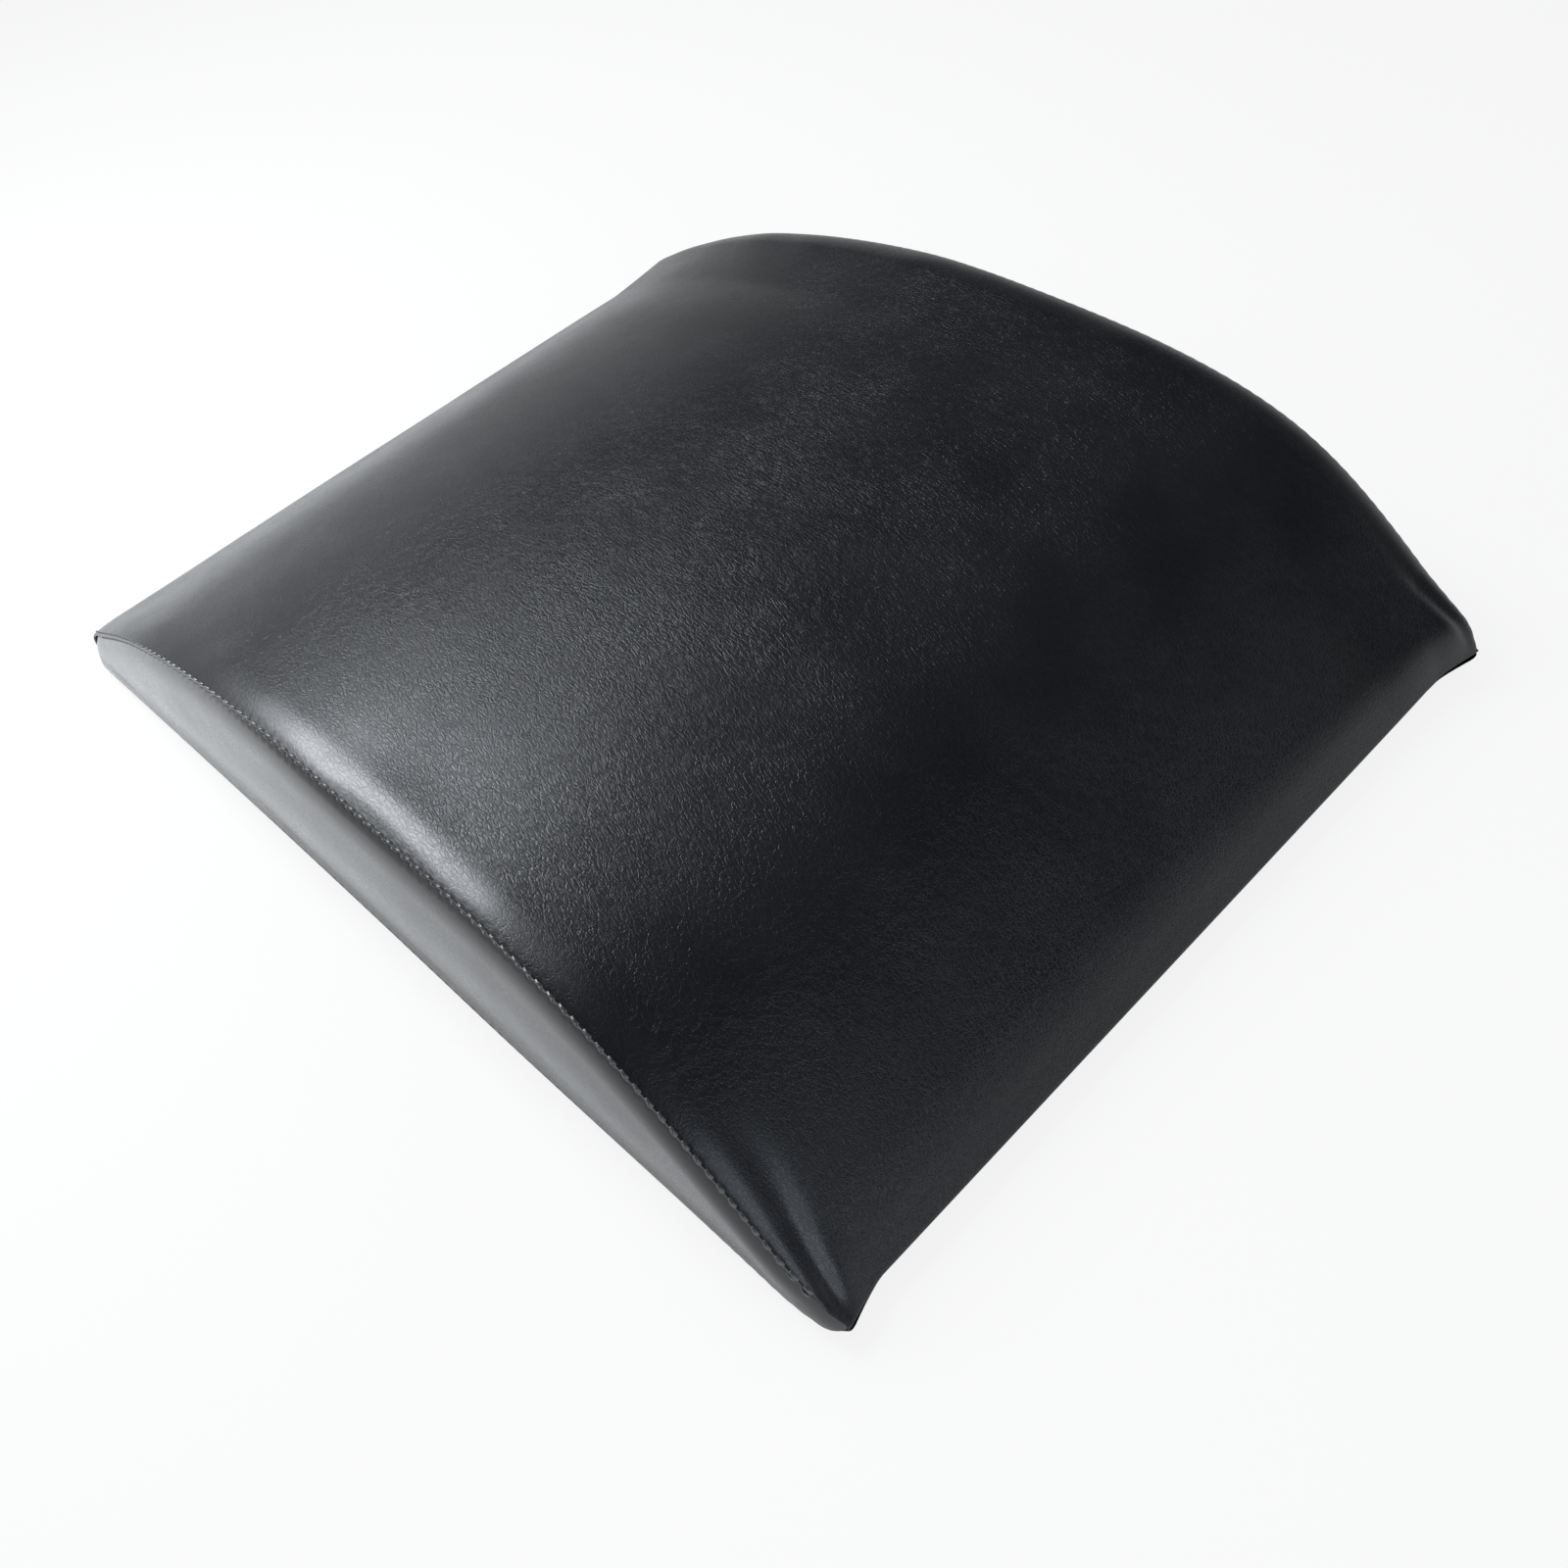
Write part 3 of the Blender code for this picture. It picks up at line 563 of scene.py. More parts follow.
def curl(grid, outward, turn, radius):
    """Continue a grid past its last column in a tight curl towards its inner side."""
    edge = grid[:, -1]
    radius = radius(edge) if callable(radius) else radius
    along = unit(edge - grid[:, -2])
    normal = grid_normals(grid, outward)[:, -1]
    normal = unit(normal - along * np.sum(normal * along, axis=1, keepdims=True))
    run = running_length(edge)
    even = np.searchsorted(run, np.clip(run, CORNER_LENGTH, run[-1] - CORNER_LENGTH))
    along, normal = along[even], normal[even]
    extra = []
    for i in range(1, LIP_STEPS + 1):
        angle = turn * i / LIP_STEPS
        step = along * math.sin(angle) - normal * (1 - math.cos(angle))
        extra.append(edge + radius * step)
    return np.concatenate([grid, np.stack(extra, axis=1)], axis=1)


def curl_edges(grid, outward, curls):
    """Curl a grid's edges by the given angles and radii, in the order last, first, end, start."""
    for edge in ("last", "first", "end", "start"):
        if edge not in curls:
            continue
        turn, radius = curls[edge]
        rows = edge in ("end", "start")
        backward = edge in ("first", "start")
        grid = grid.swapaxes(0, 1) if rows else grid
        grid = grid[:, ::-1] if backward else grid
        grid = curl(grid, outward, turn, radius)
        grid = grid[:, ::-1] if backward else grid
        grid = grid.swapaxes(0, 1) if rows else grid
    return grid


def leather_sheet(name, grid, outward, curls):
    """Closed leather sheet with folded edges, from the grid of its outer face."""
    outer = curl_edges(grid, outward, curls)
    inner = outer - SHEET * grid_normals(outer, outward)
    return sheet_solid(name, outer, inner)


# Swelling of the cover, found by simulation

def pad_copy(seam):
    """Closed, slightly smaller copy of the whole mat with even faces, for the simulation."""
    top, _ = top_grid(seam, PAD_HALF_COLUMNS, SWELL_INSET)
    base = top.copy()
    base[:, :, 1] = floor_track(seam, FRONT_Y + SWELL_INSET, BACK_SEAM_Y - SWELL_INSET)[:, None]
    base[:, :, 2] = SWELL_INSET
    return with_even_faces(sheet_solid("swelling_pad", top, base), SWELL_VOXEL)


def seam_tree(seam):
    """Search tree of the points that stay put: the side seams and the front and back seams."""
    lines = []
    for y, z in seam.points:
        lines += [(side * float(half_width(y, side)), y, z) for side in (-1, 1)]
    for x in np.linspace(-WIDTH / 2, WIDTH / 2, SEAM_TREE_POINTS):
        lines += [(x, FRONT_Y, FRONT_SEAM_HEIGHT), (x, BACK_SEAM_Y, FLOOR_SEAM)]
    return search_tree(lines)


def simulated_swelling(seam):
    """Blow up the pad between its seams; gives a search tree of its points and their moves."""
    pad = pad_copy(seam)
    seams = seam_tree(seam)
    rest = points_of(pad.data)
    away = np.array([seams.find(point)[2] for point in rest])
    free = smooth_step((away - HOLD_NEAR) / (HOLD_FAR - HOLD_NEAR))
    free[rest[:, 2] < SWELL_INSET + SWELL_VOXEL / 2] = 0
    held = pad.vertex_groups.new(name="held")
    for i, share in enumerate(free):
        held.add([i], float(1 - share), "REPLACE")
    cloth = pad.modifiers.new("swelling", "CLOTH")
    for key, value in SWELL_FABRIC.items():
        setattr(cloth.settings, key, value)
    cloth.settings.effector_weights.gravity = 0
    scene = bpy.context.scene
    scene.frame_start, scene.frame_end = 1, SWELL_FRAMES
    cloth.point_cache.frame_start, cloth.point_cache.frame_end = 1, SWELL_FRAMES
    for step in range(1, SWELL_FRAMES + 1):
        scene.frame_set(step)
    graph = bpy.context.evaluated_depsgraph_get()
    move = points_of(pad.evaluated_get(graph).to_mesh()) - rest
    pad.evaluated_get(graph).to_mesh_clear()
    size = np.linalg.norm(move, axis=1, keepdims=True)
    move = move / np.maximum(size, TINY_MOVE) * SWELL_CAP * np.tanh(size / SWELL_CAP)
    scene.frame_set(1)
    bpy.data.objects.remove(pad, do_unlink=True)
    return search_tree(rest), move, free


def swelling_at(points, swelling):
    """How far the simulation moves these points, past the inset that the pad started with."""
    tree, move, free = swelling
    result = np.zeros(len(points))
    for i, point in enumerate(points):
        total, weight_sum = 0.0, 0.0
        for _, index, distance in tree.find_n(point, SWELL_NEIGHBOURS):
            weight = 1 / (distance + MM) ** 2
            total += weight * (np.linalg.norm(move[index]) - SWELL_INSET) * free[index]
            weight_sum += weight
        result[i] = total / weight_sum
    return result


def swelling_over(grid, swelling):
    """The same for a fine grid of points, found at some of them and eased in between."""
    rows, columns = grid.shape[:2]
    i = np.unique(np.linspace(0, rows - 1, SWELL_ROWS).astype(int))
    j = np.unique(np.linspace(0, columns - 1, SWELL_COLUMNS).astype(int))
    coarse = swelling_at(grid[i][:, j].reshape(-1, 3), swelling).reshape(len(i), len(j))
    for _ in range(SWELL_PASSES):
        coarse[1:-1] = (coarse[:-2] + 2 * coarse[1:-1] + coarse[2:]) / 4
        coarse[:, 1:-1] = (coarse[:, :-2] + 2 * coarse[:, 1:-1] + coarse[:, 2:]) / 4
    wide = np.stack([np.interp(np.arange(columns), j, row) for row in coarse])
    return np.stack([np.interp(np.arange(rows), i, column) for column in wide.T], axis=1)


# Pieces of the cover

def puckers(place):
    """Fullness of the leather between stitches: 1 halfway, 0 at a stitch."""
    return (0.5 - 0.5 * np.cos(2 * math.pi * place / STITCH_PITCH)) ** PUCKER_POWER


def gathered(place, away):
    """Height of the leather gathered between the stitches, at this distance from the seam."""
    return PUCKER * puckers(place) * bump(away, PUCKER_PLACE, PUCKER_REACH)


def drift(place, lengths, heights):
    """Slow, uneven wave along a seam, between about -1 and 1 times the heights."""
    value = np.zeros_like(place)
    for k, (length, height) in enumerate(zip(lengths, heights)):
        phase = WAVE_PHASE + WAVE_PHASE_STEP * k
        value = value + height * np.sin(2 * math.pi * place / length + phase)
    return value


def front_crease(place, distance):
    """Crease between the edge roll and the front slope, which runs out at the ear."""
    fade = smooth_step(1 - (place - CREASE_FADE_START) / CREASE_FADE)
    fade = fade * smooth_step(CREASE_AT_EAR + place / CREASE_RISE)
    along = smooth_step(place / CREASE_TURN)
    path = CREASE_PLACE + CREASE_SHIFT * along
    return -CREASE_DEPTH * fade * bump(distance, path, CREASE_WIDTH + CREASE_WIDENING * along)


def top_form(seam, swelling):
    """Outer face of the top: rolled sides, lips along the seams and pinched corners."""
    grid, distance = top_grid(seam, HALF_COLUMNS)
    normals = grid_normals(grid, (0, 0, 1))
    swell = swelling_over(grid, swelling)
    place = np.broadcast_to(seam.place[:, None], distance.shape)
    side = np.where(grid[..., 0] < 0, 0.0, WAVE_SHIFT)
    wave = drift(place + side, WAVE_LENGTHS, WAVE_HEIGHTS)
    wave = wave * smooth_step((place - WAVE_START) / WAVE_RAMP)
    edge_wave = wave * bump(distance, WAVE_PLACE, WAVE_REACH) * smooth_step(distance / WAVE_EASE)
    gathers = gathered(place, distance)
    move = swell + edge_wave + gathers + front_crease(place, distance)
    return grid + normals * move[..., None]


def seam_turn(down):
    """How far the side panel is turned in at this distance below the seam."""
    return SEAM_TURN * np.clip(1 - down / SEAM_TURN_REACH, 0, 1) ** SEAM_TURN_POWER


def side_form(side, seam, swelling):
    """Outer face of one side, drawn in along its seams, and the place of each of its rows."""
    upper = seam.points - seam.normals * SEAM_GAP
    lower_y = floor_track(seam, FRONT_Y, BACK_SEAM_Y - COVER_THICKNESS - SEAM_GAP)
    lower_z = toe(lower_y) + FLOOR_SEAM
    tall = upper[:, 1] - lower_z > 2 * LIP_RADIUS
    upper, place = upper[tall], seam.place[tall]
    lower = np.stack([lower_y, lower_z], axis=1)[tall]
    part = np.linspace(0, 1, SIDE_ROWS + 1) ** SIDE_POWER
    points = upper[:, None] + (lower - upper)[:, None] * part[None, :, None]
    height = np.linalg.norm(lower - upper, axis=1)[:, None]
    down = height * part[None, :]
    up = height - down
    shallow = np.minimum(1, height / SHALLOW_HEIGHT)
    tall_share = np.minimum(1, height / TALL_HEIGHT)
    rise = BELLY_RISE * bump(upper[:, 0], BELLY_RISE_Y, BELLY_RISE_LENGTH)[:, None]
    belly = SIDE_BELLY * tall_share * np.sin(math.pi * part[None, :] ** (1 - rise))
    foot = foot_spread(points[..., 0]) * part
    foot = foot - shallow * FOOT_TURN * np.clip(1 - up / FOOT_TURN_REACH, 0, 1) ** 2
    turned = shallow * seam_turn(down) + (1 - shallow) * LIP_TURN * (1 - part)[None, :]
    across = half_width(points[..., 0], side) + belly + foot - turned
    along = np.broadcast_to(place[:, None], across.shape)
    across = across + gathered(along, down) * shallow
    across = across + gathered(points[..., 0] - FRONT_Y, up) * shallow
    grid = np.stack([side * across, points[..., 0], points[..., 1]], axis=-1)
    ease = smooth_step(down / SWELL_EASE) * smooth_step(up / SWELL_EASE)
    grid[..., 0] += side * swelling_over(grid, swelling) * ease
    return pinch(grid), place


def underside_columns():
    """Places across the underside, closer together at the ends of the zip's opening."""
    ends = (0, ZIP_REACH - OPENING_RAMP, ZIP_REACH + OPENING_RAMP, WIDTH / 2)
    half = [0.0]
    for low, high, count in zip(ends, ends[1:], UNDERSIDE_COLUMNS):
        half += list(np.linspace(low, high, count)[1:])
    return np.array([-x for x in reversed(half[1:])] + half)


def zip_edge(x):
    """Distance of a panel's edge from the zip's centre line: wide over the zip, shut past it."""
    shut = np.clip((np.abs(x) - ZIP_REACH) / OPENING_RAMP, 0, 1)
    return ZIP_OPENING / 2 + (SEAM_GAP / 2 - ZIP_OPENING / 2) * shut


def fold(distance, height, place, reach):
    """Height of a soft fold that runs at this place beside an edge."""
    return height * bump(distance, place, reach)


def cover_base(name, side, low_y, steps):
    """One half of the underside: flat on the floor, with a folded edge along the zip."""
    x = underside_columns()[:, None]
    at_corner = smooth_step((np.abs(x) - WIDTH / 2 + FRONT_HEM_CORNER) / FRONT_HEM_RAMP)
    low_y = low_y + (FRONT_HEM_INSET * (1 - at_corner) if side < 0 else 0)
    zip_side = ZIP_Y + side * zip_edge(x)
    share = np.linspace(0, 1, steps + 1)[None, :] ** BASE_POWER
    y = zip_side + (low_y - zip_side) * share
    outer = smooth_step((np.abs(x) / (WIDTH / 2) - BASE_DRAW_START) / BASE_DRAW_RAMP)
    drawn = WIDTH / 2 - half_width(y, np.sign(x)) + RIM_INSET - foot_spread(y)
    across = x - np.sign(x) * drawn * outer
    back_corner = smooth_step((np.abs(x) - WIDTH / 2) / BASE_CORNER + 1)
    back_corner = back_corner * smooth_step((y - BACK_SEAM_Y) / BASE_CORNER + 1)
    across = across - np.sign(x) * BASE_CORNER_TUCK * back_corner
    to_zip = np.abs(y - zip_side)
    inside = 1 - smooth_step((np.abs(x) - ZIP_REACH) / OPENING_RAMP)
    folds = fold(to_zip, *ZIP_GROOVE) + fold(to_zip, *ZIP_LIP)
    folds = folds + np.cos(2 * math.pi * x / ZIP_STITCH_PITCH) * fold(to_zip, *ZIP_WAVES)
    rim = np.minimum(WIDTH / 2 - np.abs(x), np.abs(y - low_y))
    lift = BASE_LIFT * np.clip(1 - rim / BASE_LIFT_REACH, 0, 1) ** 2
    z = toe(y) + dish(x, y) + lift - folds * inside * (dish(x, y) > MM)
    grid = pinch(np.stack([across, y - BASE_CORNER_TUCK * back_corner, z], axis=-1))
    turn = (math.pi / 2, LIP_RADIUS)
    curls = {"last": turn, "first": (math.pi, HEM_RADIUS), "end": turn, "start": turn}
    return leather_sheet(name, grid, (0, 0, -1), curls)


def foam_block():
    """Foam core: the solid's own form with the softly broken faces of cut foam."""
    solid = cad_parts["foam_core"]
    block = bpy.data.objects.new("foam_block", solid.data.copy())
    block.data.materials.clear()
    bpy.context.scene.collection.objects.link(block)
    mesh = with_even_faces(block, FOAM_VOXEL).data
    points, normals = points_of(mesh), points_of(mesh, "normal")
    rough = np.prod(np.sin(points[:, :2] / FOAM_WAVE_SIZES), axis=1)
    points = points - normals * (FOAM_INSET + FOAM_WAVE_HEIGHT * rough)[:, None]
    mesh.vertices.foreach_set("co", points.ravel())
    mesh.update()
    mesh.shade_smooth()
    return block


# Thread

def capsules(name, stitches, radius):
    """Round-ended bars between pairs of points, each bowed outward, joined in one mesh."""
    bm = bmesh.new()
    for start, end, out in stitches:
        start, end, out = Vector(start), Vector(end), Vector(out)
        axis = (end - start).normalized()
        across = axis.cross(out).normalized()
        out = across.cross(axis)
        loops = []
        profile = []
        for k in range(THREAD_RINGS):
            angle = math.pi / 2 * (k + 1) / (THREAD_RINGS + 1)
            profile.append((-math.cos(angle) * radius, math.sin(angle) * radius, 0.0))
        length = (end - start).length
        shares = [k / THREAD_PARTS for k in range(THREAD_PARTS + 1)]
        body = [(share * length, radius, math.sin(math.pi * share) * radius * STITCH_BOW)
                for share in shares]
        tail = [(length - a, r, b) for a, r, b in reversed(profile)]
        for a, r, rise in profile + body + tail:
            centre = start + axis * a + out * rise
            ring = []
            for j in range(THREAD_SIDES):
                angle = 2 * math.pi * j / THREAD_SIDES
                beside = across * math.cos(angle) + out * math.sin(angle)
                ring.append(bm.verts.new(centre + beside * r))
            loops.append(ring)
        for below, above in zip(loops, loops[1:]):
            for j in range(THREAD_SIDES):
                k = (j + 1) % THREAD_SIDES
                bm.faces.new((below[j], below[k], above[k], above[j]))
        bm.faces.new(loops[0][::-1])
        bm.faces.new(loops[-1])
    return make_object(name, bm)


def stitches_along(grid, places, outward):
    """Stitches that lie on a sheet, a little in from its first column."""
    steps = np.linalg.norm(np.diff(grid, axis=1), axis=2)
    length = np.concatenate([np.zeros((len(grid), 1)), np.cumsum(steps, axis=1)], axis=1)
    normals = grid_normals(grid, outward)
    line = [[np.interp(STITCH_ROW, length[i], form[i, :, k]) for form in (grid, normals)
             for k in range(3)] for i in range(len(grid))]
    line = np.array(line)
    stitches = []
    first = math.ceil(max(places[0], STITCH_START) / STITCH_PITCH)
    for k in range(first, int((places[-1] - STITCH_END) / STITCH_PITCH)):
        ends = []
        for turn in (-1, 1):
            place = k * STITCH_PITCH + turn * STITCH_LENGTH / 2
            ends.append(np.array([np.interp(place, places, column) for column in line.T]))
        out = unit(ends[0][3:] + ends[1][3:])
        stitches.append([end[:3] - STITCH_SINK * out for end in ends] + [out])
    return stitches


def zip_thread(name, side):
    """Row of stitches that holds a zip tape under the folded edge of its panel."""
    stitches = []
    count = int(2 * (ZIP_REACH - ZIP_STITCH_MARGIN) / ZIP_STITCH_PITCH)
    y = ZIP_Y + side * (ZIP_OPENING / 2 + ZIP_STITCH_ROW)
    for k in range(count):
        x = (k - count / 2) * ZIP_STITCH_PITCH
        z = float(dish(x, y)) + ZIP_STITCH_LIFT
        start, end = x + ZIP_STITCH_GAP / 2, x + ZIP_STITCH_PITCH - ZIP_STITCH_GAP / 2
        stitches.append(((start, y, z), (end, y, z), (0, 0, -1)))
    return capsules(name, stitches, ZIP_STITCH_RADIUS)


# Materials

class Finish:
    """Principled material whose nodes are added one call at a time."""

    def __init__(self, name, colour, roughness, **settings):
        self.material = bpy.data.materials.new(name)
        self.material.use_nodes = True
        self.material.diffuse_color = (*colour, 1.0)
        self.tree = self.material.node_tree
        self.surface = self.tree.nodes["Principled BSDF"]
        self.surface.inputs["Base Color"].default_value = (*colour, 1.0)
        self.surface.inputs["Roughness"].default_value = roughness
        for key, value in settings.items():
            self.surface.inputs[key.replace("_", " ")].default_value = value
        self.place = self.node("TexCoord").outputs["Object"]

    def node(self, kind, inputs=None, **settings):
        """Add a node; inputs are values or sockets by name or number."""
        node = self.tree.nodes.new("ShaderNode" + kind)
        for key, value in settings.items():
            setattr(node, key, value)
        for key, value in (inputs or {}).items():
            if isinstance(value, bpy.types.NodeSocket):
                self.tree.links.new(value, node.inputs[key])
            else:
                node.inputs[key].default_value = value
        return node

    def math(self, operation, a, b):
        """Result of one sum."""
        return self.node("Math", {0: a, 1: b}, operation=operation).outputs[0]

    def stretched(self, x, y, z):
        """Coordinates scaled along each axis."""
        mapping = self.node("Mapping", {"Vector": self.place, "Scale": (x, y, z)})
        return mapping.outputs["Vector"]

    def noise(self, size, detail=PLAIN_DETAIL, vector=None):
        """Noise between 0 and 1 with features of this size."""
        inputs = {"Vector": vector or self.place, "Scale": 1 / size, "Detail": detail}
        return self.node("TexNoise", inputs).outputs["Fac"]

    def cells(self, size, vector, feature):
        """Distance from cell centres or from cell edges, for cells of this size."""
        inputs = {"Vector": vector, "Scale": 1 / size, "Randomness": 1.0}
        return self.node("TexVoronoi", inputs, feature=feature).outputs["Distance"]

    def grooves(self, size, vector, width):
        """Height between grooves of this width, which run between cells of this size."""
        return self.ramp(self.cells(size, vector, "DISTANCE_TO_EDGE"), 0.0, width)

    def waves(self, size, direction, distortion, detail=PLAIN_DETAIL):
        """Bands of this size across a direction."""
        inputs = {"Vector": self.place, "Scale": 1 / size,
                  "Distortion": distortion, "Detail": detail}
        return self.node("TexWave", inputs, bands_direction=direction).outputs["Fac"]

    def ramp(self, value, low, high, to_low=0.0, to_high=1.0):
        """Value eased from one range to another."""
        inputs = {"Value": value, "From Min": low, "From Max": high,
                  "To Min": to_low, "To Max": to_high}
        return self.node("MapRange", inputs, interpolation_type="SMOOTHSTEP").outputs["Result"]

    def blend(self, value, first, second):
        """Colour between two colours."""
        mix = self.node("Mix", {0: value, 6: (*first, 1.0), 7: (*second, 1.0)}, data_type="RGBA")
        return mix.outputs[2]

    def connect(self, name, value):
        """Drive an input of the surface."""
        self.tree.links.new(value, self.surface.inputs[name])

    def emboss(self, height, depth):
        """Bump the surface by a height between 0 and 1."""
        inputs = {"Height": height, "Distance": depth, "Strength": 1.0}
        self.connect("Normal", self.node("Bump", inputs).outputs["Normal"])


def leather(name, look, gloss):
    """Black leather-look sheet: creases that run along the mat, pebbles and pores.

    The sheet is stretched smooth where it bends over the side seams.
    """
    dark, light, roughness, grain = look
    finish = Finish(name, dark, roughness, **gloss)
    warp = finish.noise(WARP_SIZE, FINE_DETAIL)
    shift = finish.math("MULTIPLY", finish.math("SUBTRACT", warp, 0.5), WARP_SHIFT)
    moved = finish.node("VectorMath", {0: finish.stretched(1.0, WRINKLE_STRETCH, 1.0), 1: shift})
    creases = finish.grooves(WRINKLE_SIZE, moved.outputs[0], WRINKLE_GROOVE)
    small = finish.grooves(FINE_WRINKLE_SIZE, moved.outputs[0], FINE_WRINKLE_GROOVE)
    pebbles = finish.cells(PEBBLE_SIZE, finish.place, "F1")
    pores = finish.noise(PORE_SIZE)
    patches = finish.ramp(finish.noise(PATCH_SIZE, FINE_DETAIL), *PATCH_RANGE)
    across = finish.node("SeparateXYZ", {"Vector": finish.place}).outputs["X"]
    smooth = finish.ramp(finish.math("ABSOLUTE", across, 0.0), *SMOOTH_EDGE)
    patches = finish.math("MULTIPLY", patches, smooth)
    deep = finish.math("MULTIPLY", creases, patches)
    fine = finish.math("MULTIPLY", small, smooth)
    height = finish.math("MULTIPLY", deep, WRINKLE_SHARE)
    height = finish.math("ADD", height, finish.math("MULTIPLY", fine, FINE_WRINKLE_SHARE))
    height = finish.math("SUBTRACT", height, finish.math("MULTIPLY", pebbles, PEBBLE_SHARE))
    height = finish.math("ADD", height, finish.math("MULTIPLY", pores, PORE_SHARE))
    finish.emboss(height, grain)
    cloud = finish.ramp(finish.noise(CLOUD_SIZE, CLOUD_DETAIL), *CLOUD_RANGE)
    finish.connect("Base Color", finish.blend(cloud, dark, light))
    rough = finish.ramp(finish.noise(WEAR_SIZE, FINE_DETAIL), *WEAR_RANGE,
                        roughness - WEAR_POLISH, roughness + WEAR_DULLING)
    worn = finish.math("MULTIPLY", finish.math("SUBTRACT", 1.0, creases), GROOVE_DULLING)
    finish.connect("Roughness", finish.math("ADD", rough, worn))
    return finish.material


def foam_finish():
    """Grey cut foam with open pores, painted darker in their pits as shade."""
    finish = Finish("cut_foam", FOAM_COLOUR, FOAM_ROUGHNESS)
    pores = finish.cells(FOAM_PORE, finish.place, "F1")
    fine = finish.math("MULTIPLY", finish.noise(FOAM_FINE, FINE_DETAIL), FOAM_FINE_SHARE)
    finish.emboss(finish.math("ADD", pores, fine), FOAM_DEPTH)
    finish.connect("Base Color", finish.blend(finish.ramp(pores, *FOAM_PORE_SHADE_RANGE), *FOAM_PORE_SHADE_COLOURS))
    return finish.material


def cloth_finish():
    """Woven tape: warp and weft ribs with loose fibres between, painted darker where the ribs sink
    as shade.
    """
    finish = Finish("woven_tape", TAPE_COLOUR, TAPE_ROUGHNESS, **TAPE_SHEEN)
    weft, warp = [finish.waves(size, direction, distortion, 1.0)
                  for direction, size, distortion in TAPE_RIBS]
    ribs = finish.math("MULTIPLY", weft, warp)
    fibres = finish.math("MULTIPLY", finish.noise(TAPE_FIBRE), TAPE_FIBRE_SHARE)
    finish.emboss(finish.math("ADD", ribs, fibres), TAPE_DEPTH)
    finish.connect("Base Color", finish.blend(ribs, *TAPE_RIB_SHADE_COLOURS))
    return finish.material


def nylon_finish():
    """Satin nylon of the zip's coils, a little worn in patches."""
    finish = Finish("satin_nylon", NYLON_COLOUR, NYLON_ROUGHNESS)
    wear = finish.noise(NYLON_WEAR_SIZE, CLOUD_DETAIL)
    finish.emboss(finish.noise(NYLON_GRAIN, FINE_DETAIL), NYLON_DEPTH)
    finish.connect("Roughness", finish.ramp(wear, *NYLON_WEAR))
    finish.connect("Base Color", finish.blend(wear, *NYLON_COLOURS))
    return finish.material


def metal_finish():
    """Dark nickel with fine scratches and cloudy wear."""
    finish = Finish("dark_nickel", METAL_COLOUR, METAL_ROUGHNESS, Metallic=1.0)
    along = finish.stretched(METAL_SCRATCH_STRETCH, 1.0, 1.0)
    finish.emboss(finish.noise(METAL_SCRATCH, FINE_DETAIL, along), METAL_DEPTH)
    cloud = finish.noise(METAL_CLOUD, CLOUD_DETAIL)
    finish.connect("Roughness", finish.ramp(cloud, *METAL_WEAR))
    finish.connect("Base Color", finish.blend(cloud, *METAL_COLOURS))
    return finish.material


def thread_finish():
    """Twisted black sewing thread with a slight sheen, painted dark grey as a stand-in for its
    highlights.
    """
    finish = Finish("black_thread", THREAD_COLOUR, THREAD_ROUGHNESS, **THREAD_GLOSS)
    finish.emboss(finish.waves(THREAD_TWIST, "DIAGONAL", 1.0), THREAD_DEPTH)
    finish.connect("Base Color", finish.blend(finish.noise(THREAD_CLOUD), *THREAD_COLOURS_PAINTED_LIGHTER))
    return finish.material


# Floor, light and camera

def sum_node(tree, operation, first, second):
    """Result of one sum in a node tree; the second value may be a number."""
    node = tree.nodes.new("ShaderNodeMath")
    node.operation = operation
    tree.links.new(first, node.inputs[0])
    if isinstance(second, bpy.types.NodeSocket):
        tree.links.new(second, node.inputs[1])
    else:
        node.inputs[1].default_value = second
    return node.outputs[0]


def rays_that_see(tree):
    """Camera rays, and the mirror and see-through rays, as shares of 0 or 1."""
    path = tree.nodes.new("ShaderNodeLightPath")
    mirror = sum_node(tree, "MAXIMUM", path.outputs["Is Glossy Ray"],
                      path.outputs["Is Transmission Ray"])
    return path.outputs["Is Camera Ray"], mirror


def floor():
    """Plain pale floor that shows white and keeps the mat's soft shadow."""
    bm = bmesh.new()
    bmesh.ops.create_grid(bm, x_segments=1, y_segments=1, size=FLOOR_SIZE / 2)
    plane = make_object("floor", bm)
    plane.location.z = -FLOOR_GAP
    material = bpy.data.materials.new("pale_floor")
    material.use_nodes = True
    tree = material.node_tree
    surface = tree.nodes["Principled BSDF"]
    surface.inputs["Base Color"].default_value = FLOOR_COLOUR
    surface.inputs["Roughness"].default_value = FLOOR_ROUGHNESS
    glow = tree.nodes.new("ShaderNodeEmission")
    mix = tree.nodes.new("ShaderNodeMixShader")
    direct, mirror = rays_that_see(tree)
    share = sum_node(tree, "MAXIMUM", sum_node(tree, "MULTIPLY", direct, FLOOR_WHITE),
                     sum_node(tree, "MULTIPLY", mirror, FLOOR_WHITE_IN_GLOSS))
    tree.links.new(share, mix.inputs[0])
    tree.links.new(surface.outputs[0], mix.inputs[1])
    tree.links.new(glow.outputs[0], mix.inputs[2])
    tree.links.new(mix.outputs[0], tree.nodes["Material Output"].inputs["Surface"])
    plane.data.materials.append(material)
    return plane


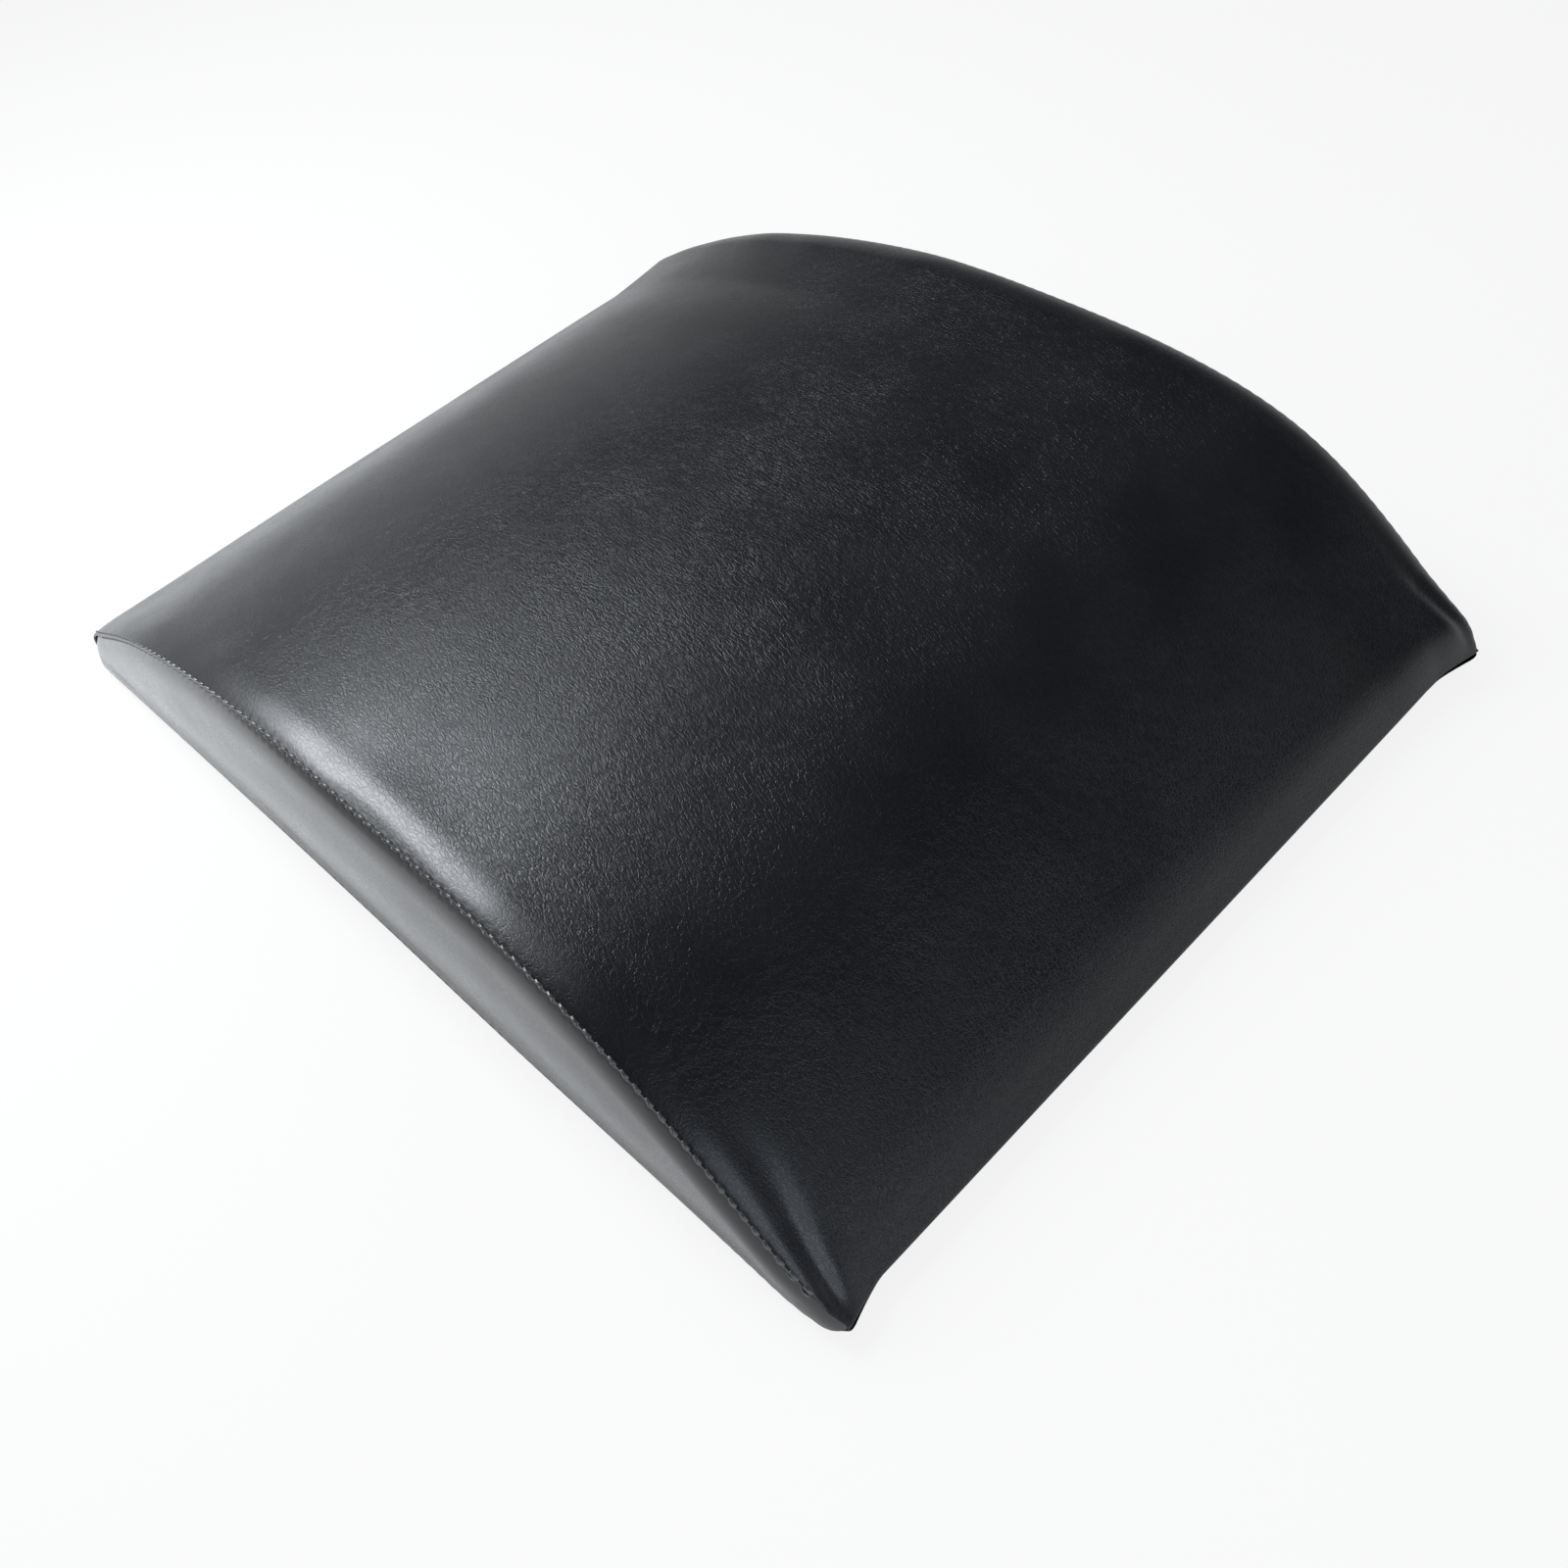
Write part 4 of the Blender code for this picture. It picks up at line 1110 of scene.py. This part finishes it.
def surround():
    """White backdrop, which fades to a dim ceiling in reflections, and light from all round."""
    world = bpy.data.worlds.new("studio")
    bpy.context.scene.world = world
    world.use_nodes = True
    tree = world.node_tree
    plain = tree.nodes["Background"]
    plain.inputs["Color"].default_value = (1, 1, 1, 1)
    plain.inputs["Strength"].default_value = WORLD_STRENGTH
    backdrop = tree.nodes.new("ShaderNodeBackground")
    place = tree.nodes.new("ShaderNodeTexCoord")
    split = tree.nodes.new("ShaderNodeSeparateXYZ")
    fade = tree.nodes.new("ShaderNodeMapRange")
    fade.interpolation_type = "SMOOTHSTEP"
    for key, value in (("From Min", BACKDROP_TOP_LOW), ("From Max", BACKDROP_TOP_HIGH),
                       ("To Min", BACKDROP_LEVEL), ("To Max", CEILING_LEVEL)):
        fade.inputs[key].default_value = value
    mix = tree.nodes.new("ShaderNodeMixShader")
    direct, mirror = rays_that_see(tree)
    tree.links.new(place.outputs["Generated"], split.inputs[0])
    tree.links.new(split.outputs["Z"], fade.inputs["Value"])
    level = sum_node(tree, "MAXIMUM", fade.outputs["Result"], direct)
    tree.links.new(level, backdrop.inputs["Strength"])
    tree.links.new(sum_node(tree, "MAXIMUM", direct, mirror), mix.inputs[0])
    tree.links.new(plain.outputs[0], mix.inputs[1])
    tree.links.new(backdrop.outputs[0], mix.inputs[2])
    tree.links.new(mix.outputs[0], tree.nodes["World Output"].inputs["Surface"])


def lamp(name, position, target, size, power, colour):
    """Soft square lamp aimed at a point."""
    light = bpy.data.lights.new(name, "AREA")
    light.shape = "RECTANGLE"
    light.size, light.size_y = size
    light.energy = power
    light.color = colour
    holder = bpy.data.objects.new(name, light)
    holder.location = position
    holder.rotation_mode = "QUATERNION"
    holder.rotation_quaternion = (Vector(position) - Vector(target)).to_track_quat("Z", "Y")
    bpy.context.scene.collection.objects.link(holder)
    return holder


def camera():
    """Camera at the photograph's angle, with its slight roll."""
    cos_e, sin_e = math.cos(CAMERA_ELEVATION), math.sin(CAMERA_ELEVATION)
    back = Vector((math.sin(CAMERA_AZIMUTH) * cos_e, -math.cos(CAMERA_AZIMUTH) * cos_e, sin_e))
    right = (-back).cross(Vector((0, 0, 1))).normalized()
    up = right.cross(-back)
    turned = right * math.cos(CAMERA_ROLL) + up * math.sin(CAMERA_ROLL)
    above = up * math.cos(CAMERA_ROLL) - right * math.sin(CAMERA_ROLL)
    data = bpy.data.cameras.new("camera")
    data.sensor_width = SENSOR
    data.lens = LENS
    data.clip_start = CAMERA_CLIP
    data.clip_end = FLOOR_SIZE * 2
    holder = bpy.data.objects.new("camera", data)
    holder.rotation_mode = "QUATERNION"
    holder.rotation_quaternion = Matrix((turned, above, back)).transposed().to_quaternion()
    holder.location = CAMERA_TARGET + back * CAMERA_DISTANCE
    bpy.context.scene.collection.objects.link(holder)
    bpy.context.scene.camera = holder


# Assembly

def place_piece(piece, material, slot, *nodes):
    """Give a piece its finish, its body and the solids that it stands for."""
    piece.data.materials.append(material)
    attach(piece, "mat")
    if nodes:
        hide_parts(*nodes)
    return piece


def build_cover():
    """All pieces of the cover and its filling."""
    seam = Seam(PROFILE_ROWS)
    swelling = simulated_swelling(seam)
    top = leather("top_leather", TOP_LEATHER, TOP_GLOSS)
    # The sides' finish is the same leather painted lighter, as light on the sides
    sides = leather("side_leather", SIDE_LEATHER_PAINTED_LIGHTER, SIDE_GLOSS)
    base = leather("base_leather", BASE_LEATHER, BASE_GLOSS)
    thread = thread_finish()
    lip = (math.pi / 2, LIP_RADIUS)
    over = top_form(seam, swelling)
    curls = {"last": lip, "first": lip, "start": (FRONT_CURL, front_fold),
             "end": (BACK_CURL, HEM_RADIUS)}
    panel = leather_sheet("cover_top", over, (0, 0, 1), curls)
    pieces = [place_piece(panel, top, "top_leather", "top_panel")]
    for word, side in (("left", -1), ("right", 1)):
        face, places = side_form(side, seam, swelling)
        panel = leather_sheet("cover_side_" + word, face, (side, 0, 0), {"last": lip, "first": lip})
        pieces.append(place_piece(panel, sides, "side_leather", "side_panel_" + word))
        stitches = stitches_along(over[:, ::-side], seam.place, (0, 0, 1))
        stitches += stitches_along(face, places, (side, 0, 0))
        panel = capsules("side_thread_" + word, stitches, STITCH_RADIUS)
        place_piece(panel, thread, "top_leather")
    halves = (("front", -1, FRONT_Y, BASE_FRONT_STEPS), ("back", 1, BACK_SEAM_Y, BASE_BACK_STEPS))
    for word, side, low_y, steps in halves:
        panel = cover_base("cover_base_" + word, side, low_y, steps)
        pieces.append(place_piece(panel, base, "base_leather", "bottom_panel_" + word))
        place_piece(zip_thread("zip_thread_" + word, side), thread, "base_leather")
    core = place_piece(foam_block(), foam_finish(), "foam", "foam_core")


def finish_zip():
    """Finishes of the zip's own solids."""
    looks = {
        "zip_tape_front": cloth_finish(), "zip_coil_front": nylon_finish(),
        "zip_slider": metal_finish(),
    }
    same = {
        "zip_tape_back": "zip_tape_front", "zip_coil_back": "zip_coil_front",
        "zip_pull_tab": "zip_slider", "zip_top_stop_front": "zip_slider",
        "zip_top_stop_back": "zip_slider", "zip_bottom_stop": "zip_slider",
    }
    for name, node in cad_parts.items():
        if name in looks or name in same:
            node.data.materials.clear()
            node.data.materials.append(looks[same.get(name, name)])


build_cover()
finish_zip()
floor()
surround()
for settings in LAMPS:
    lamp(*settings)
camera()
bpy.context.scene.view_settings.view_transform = "Standard"
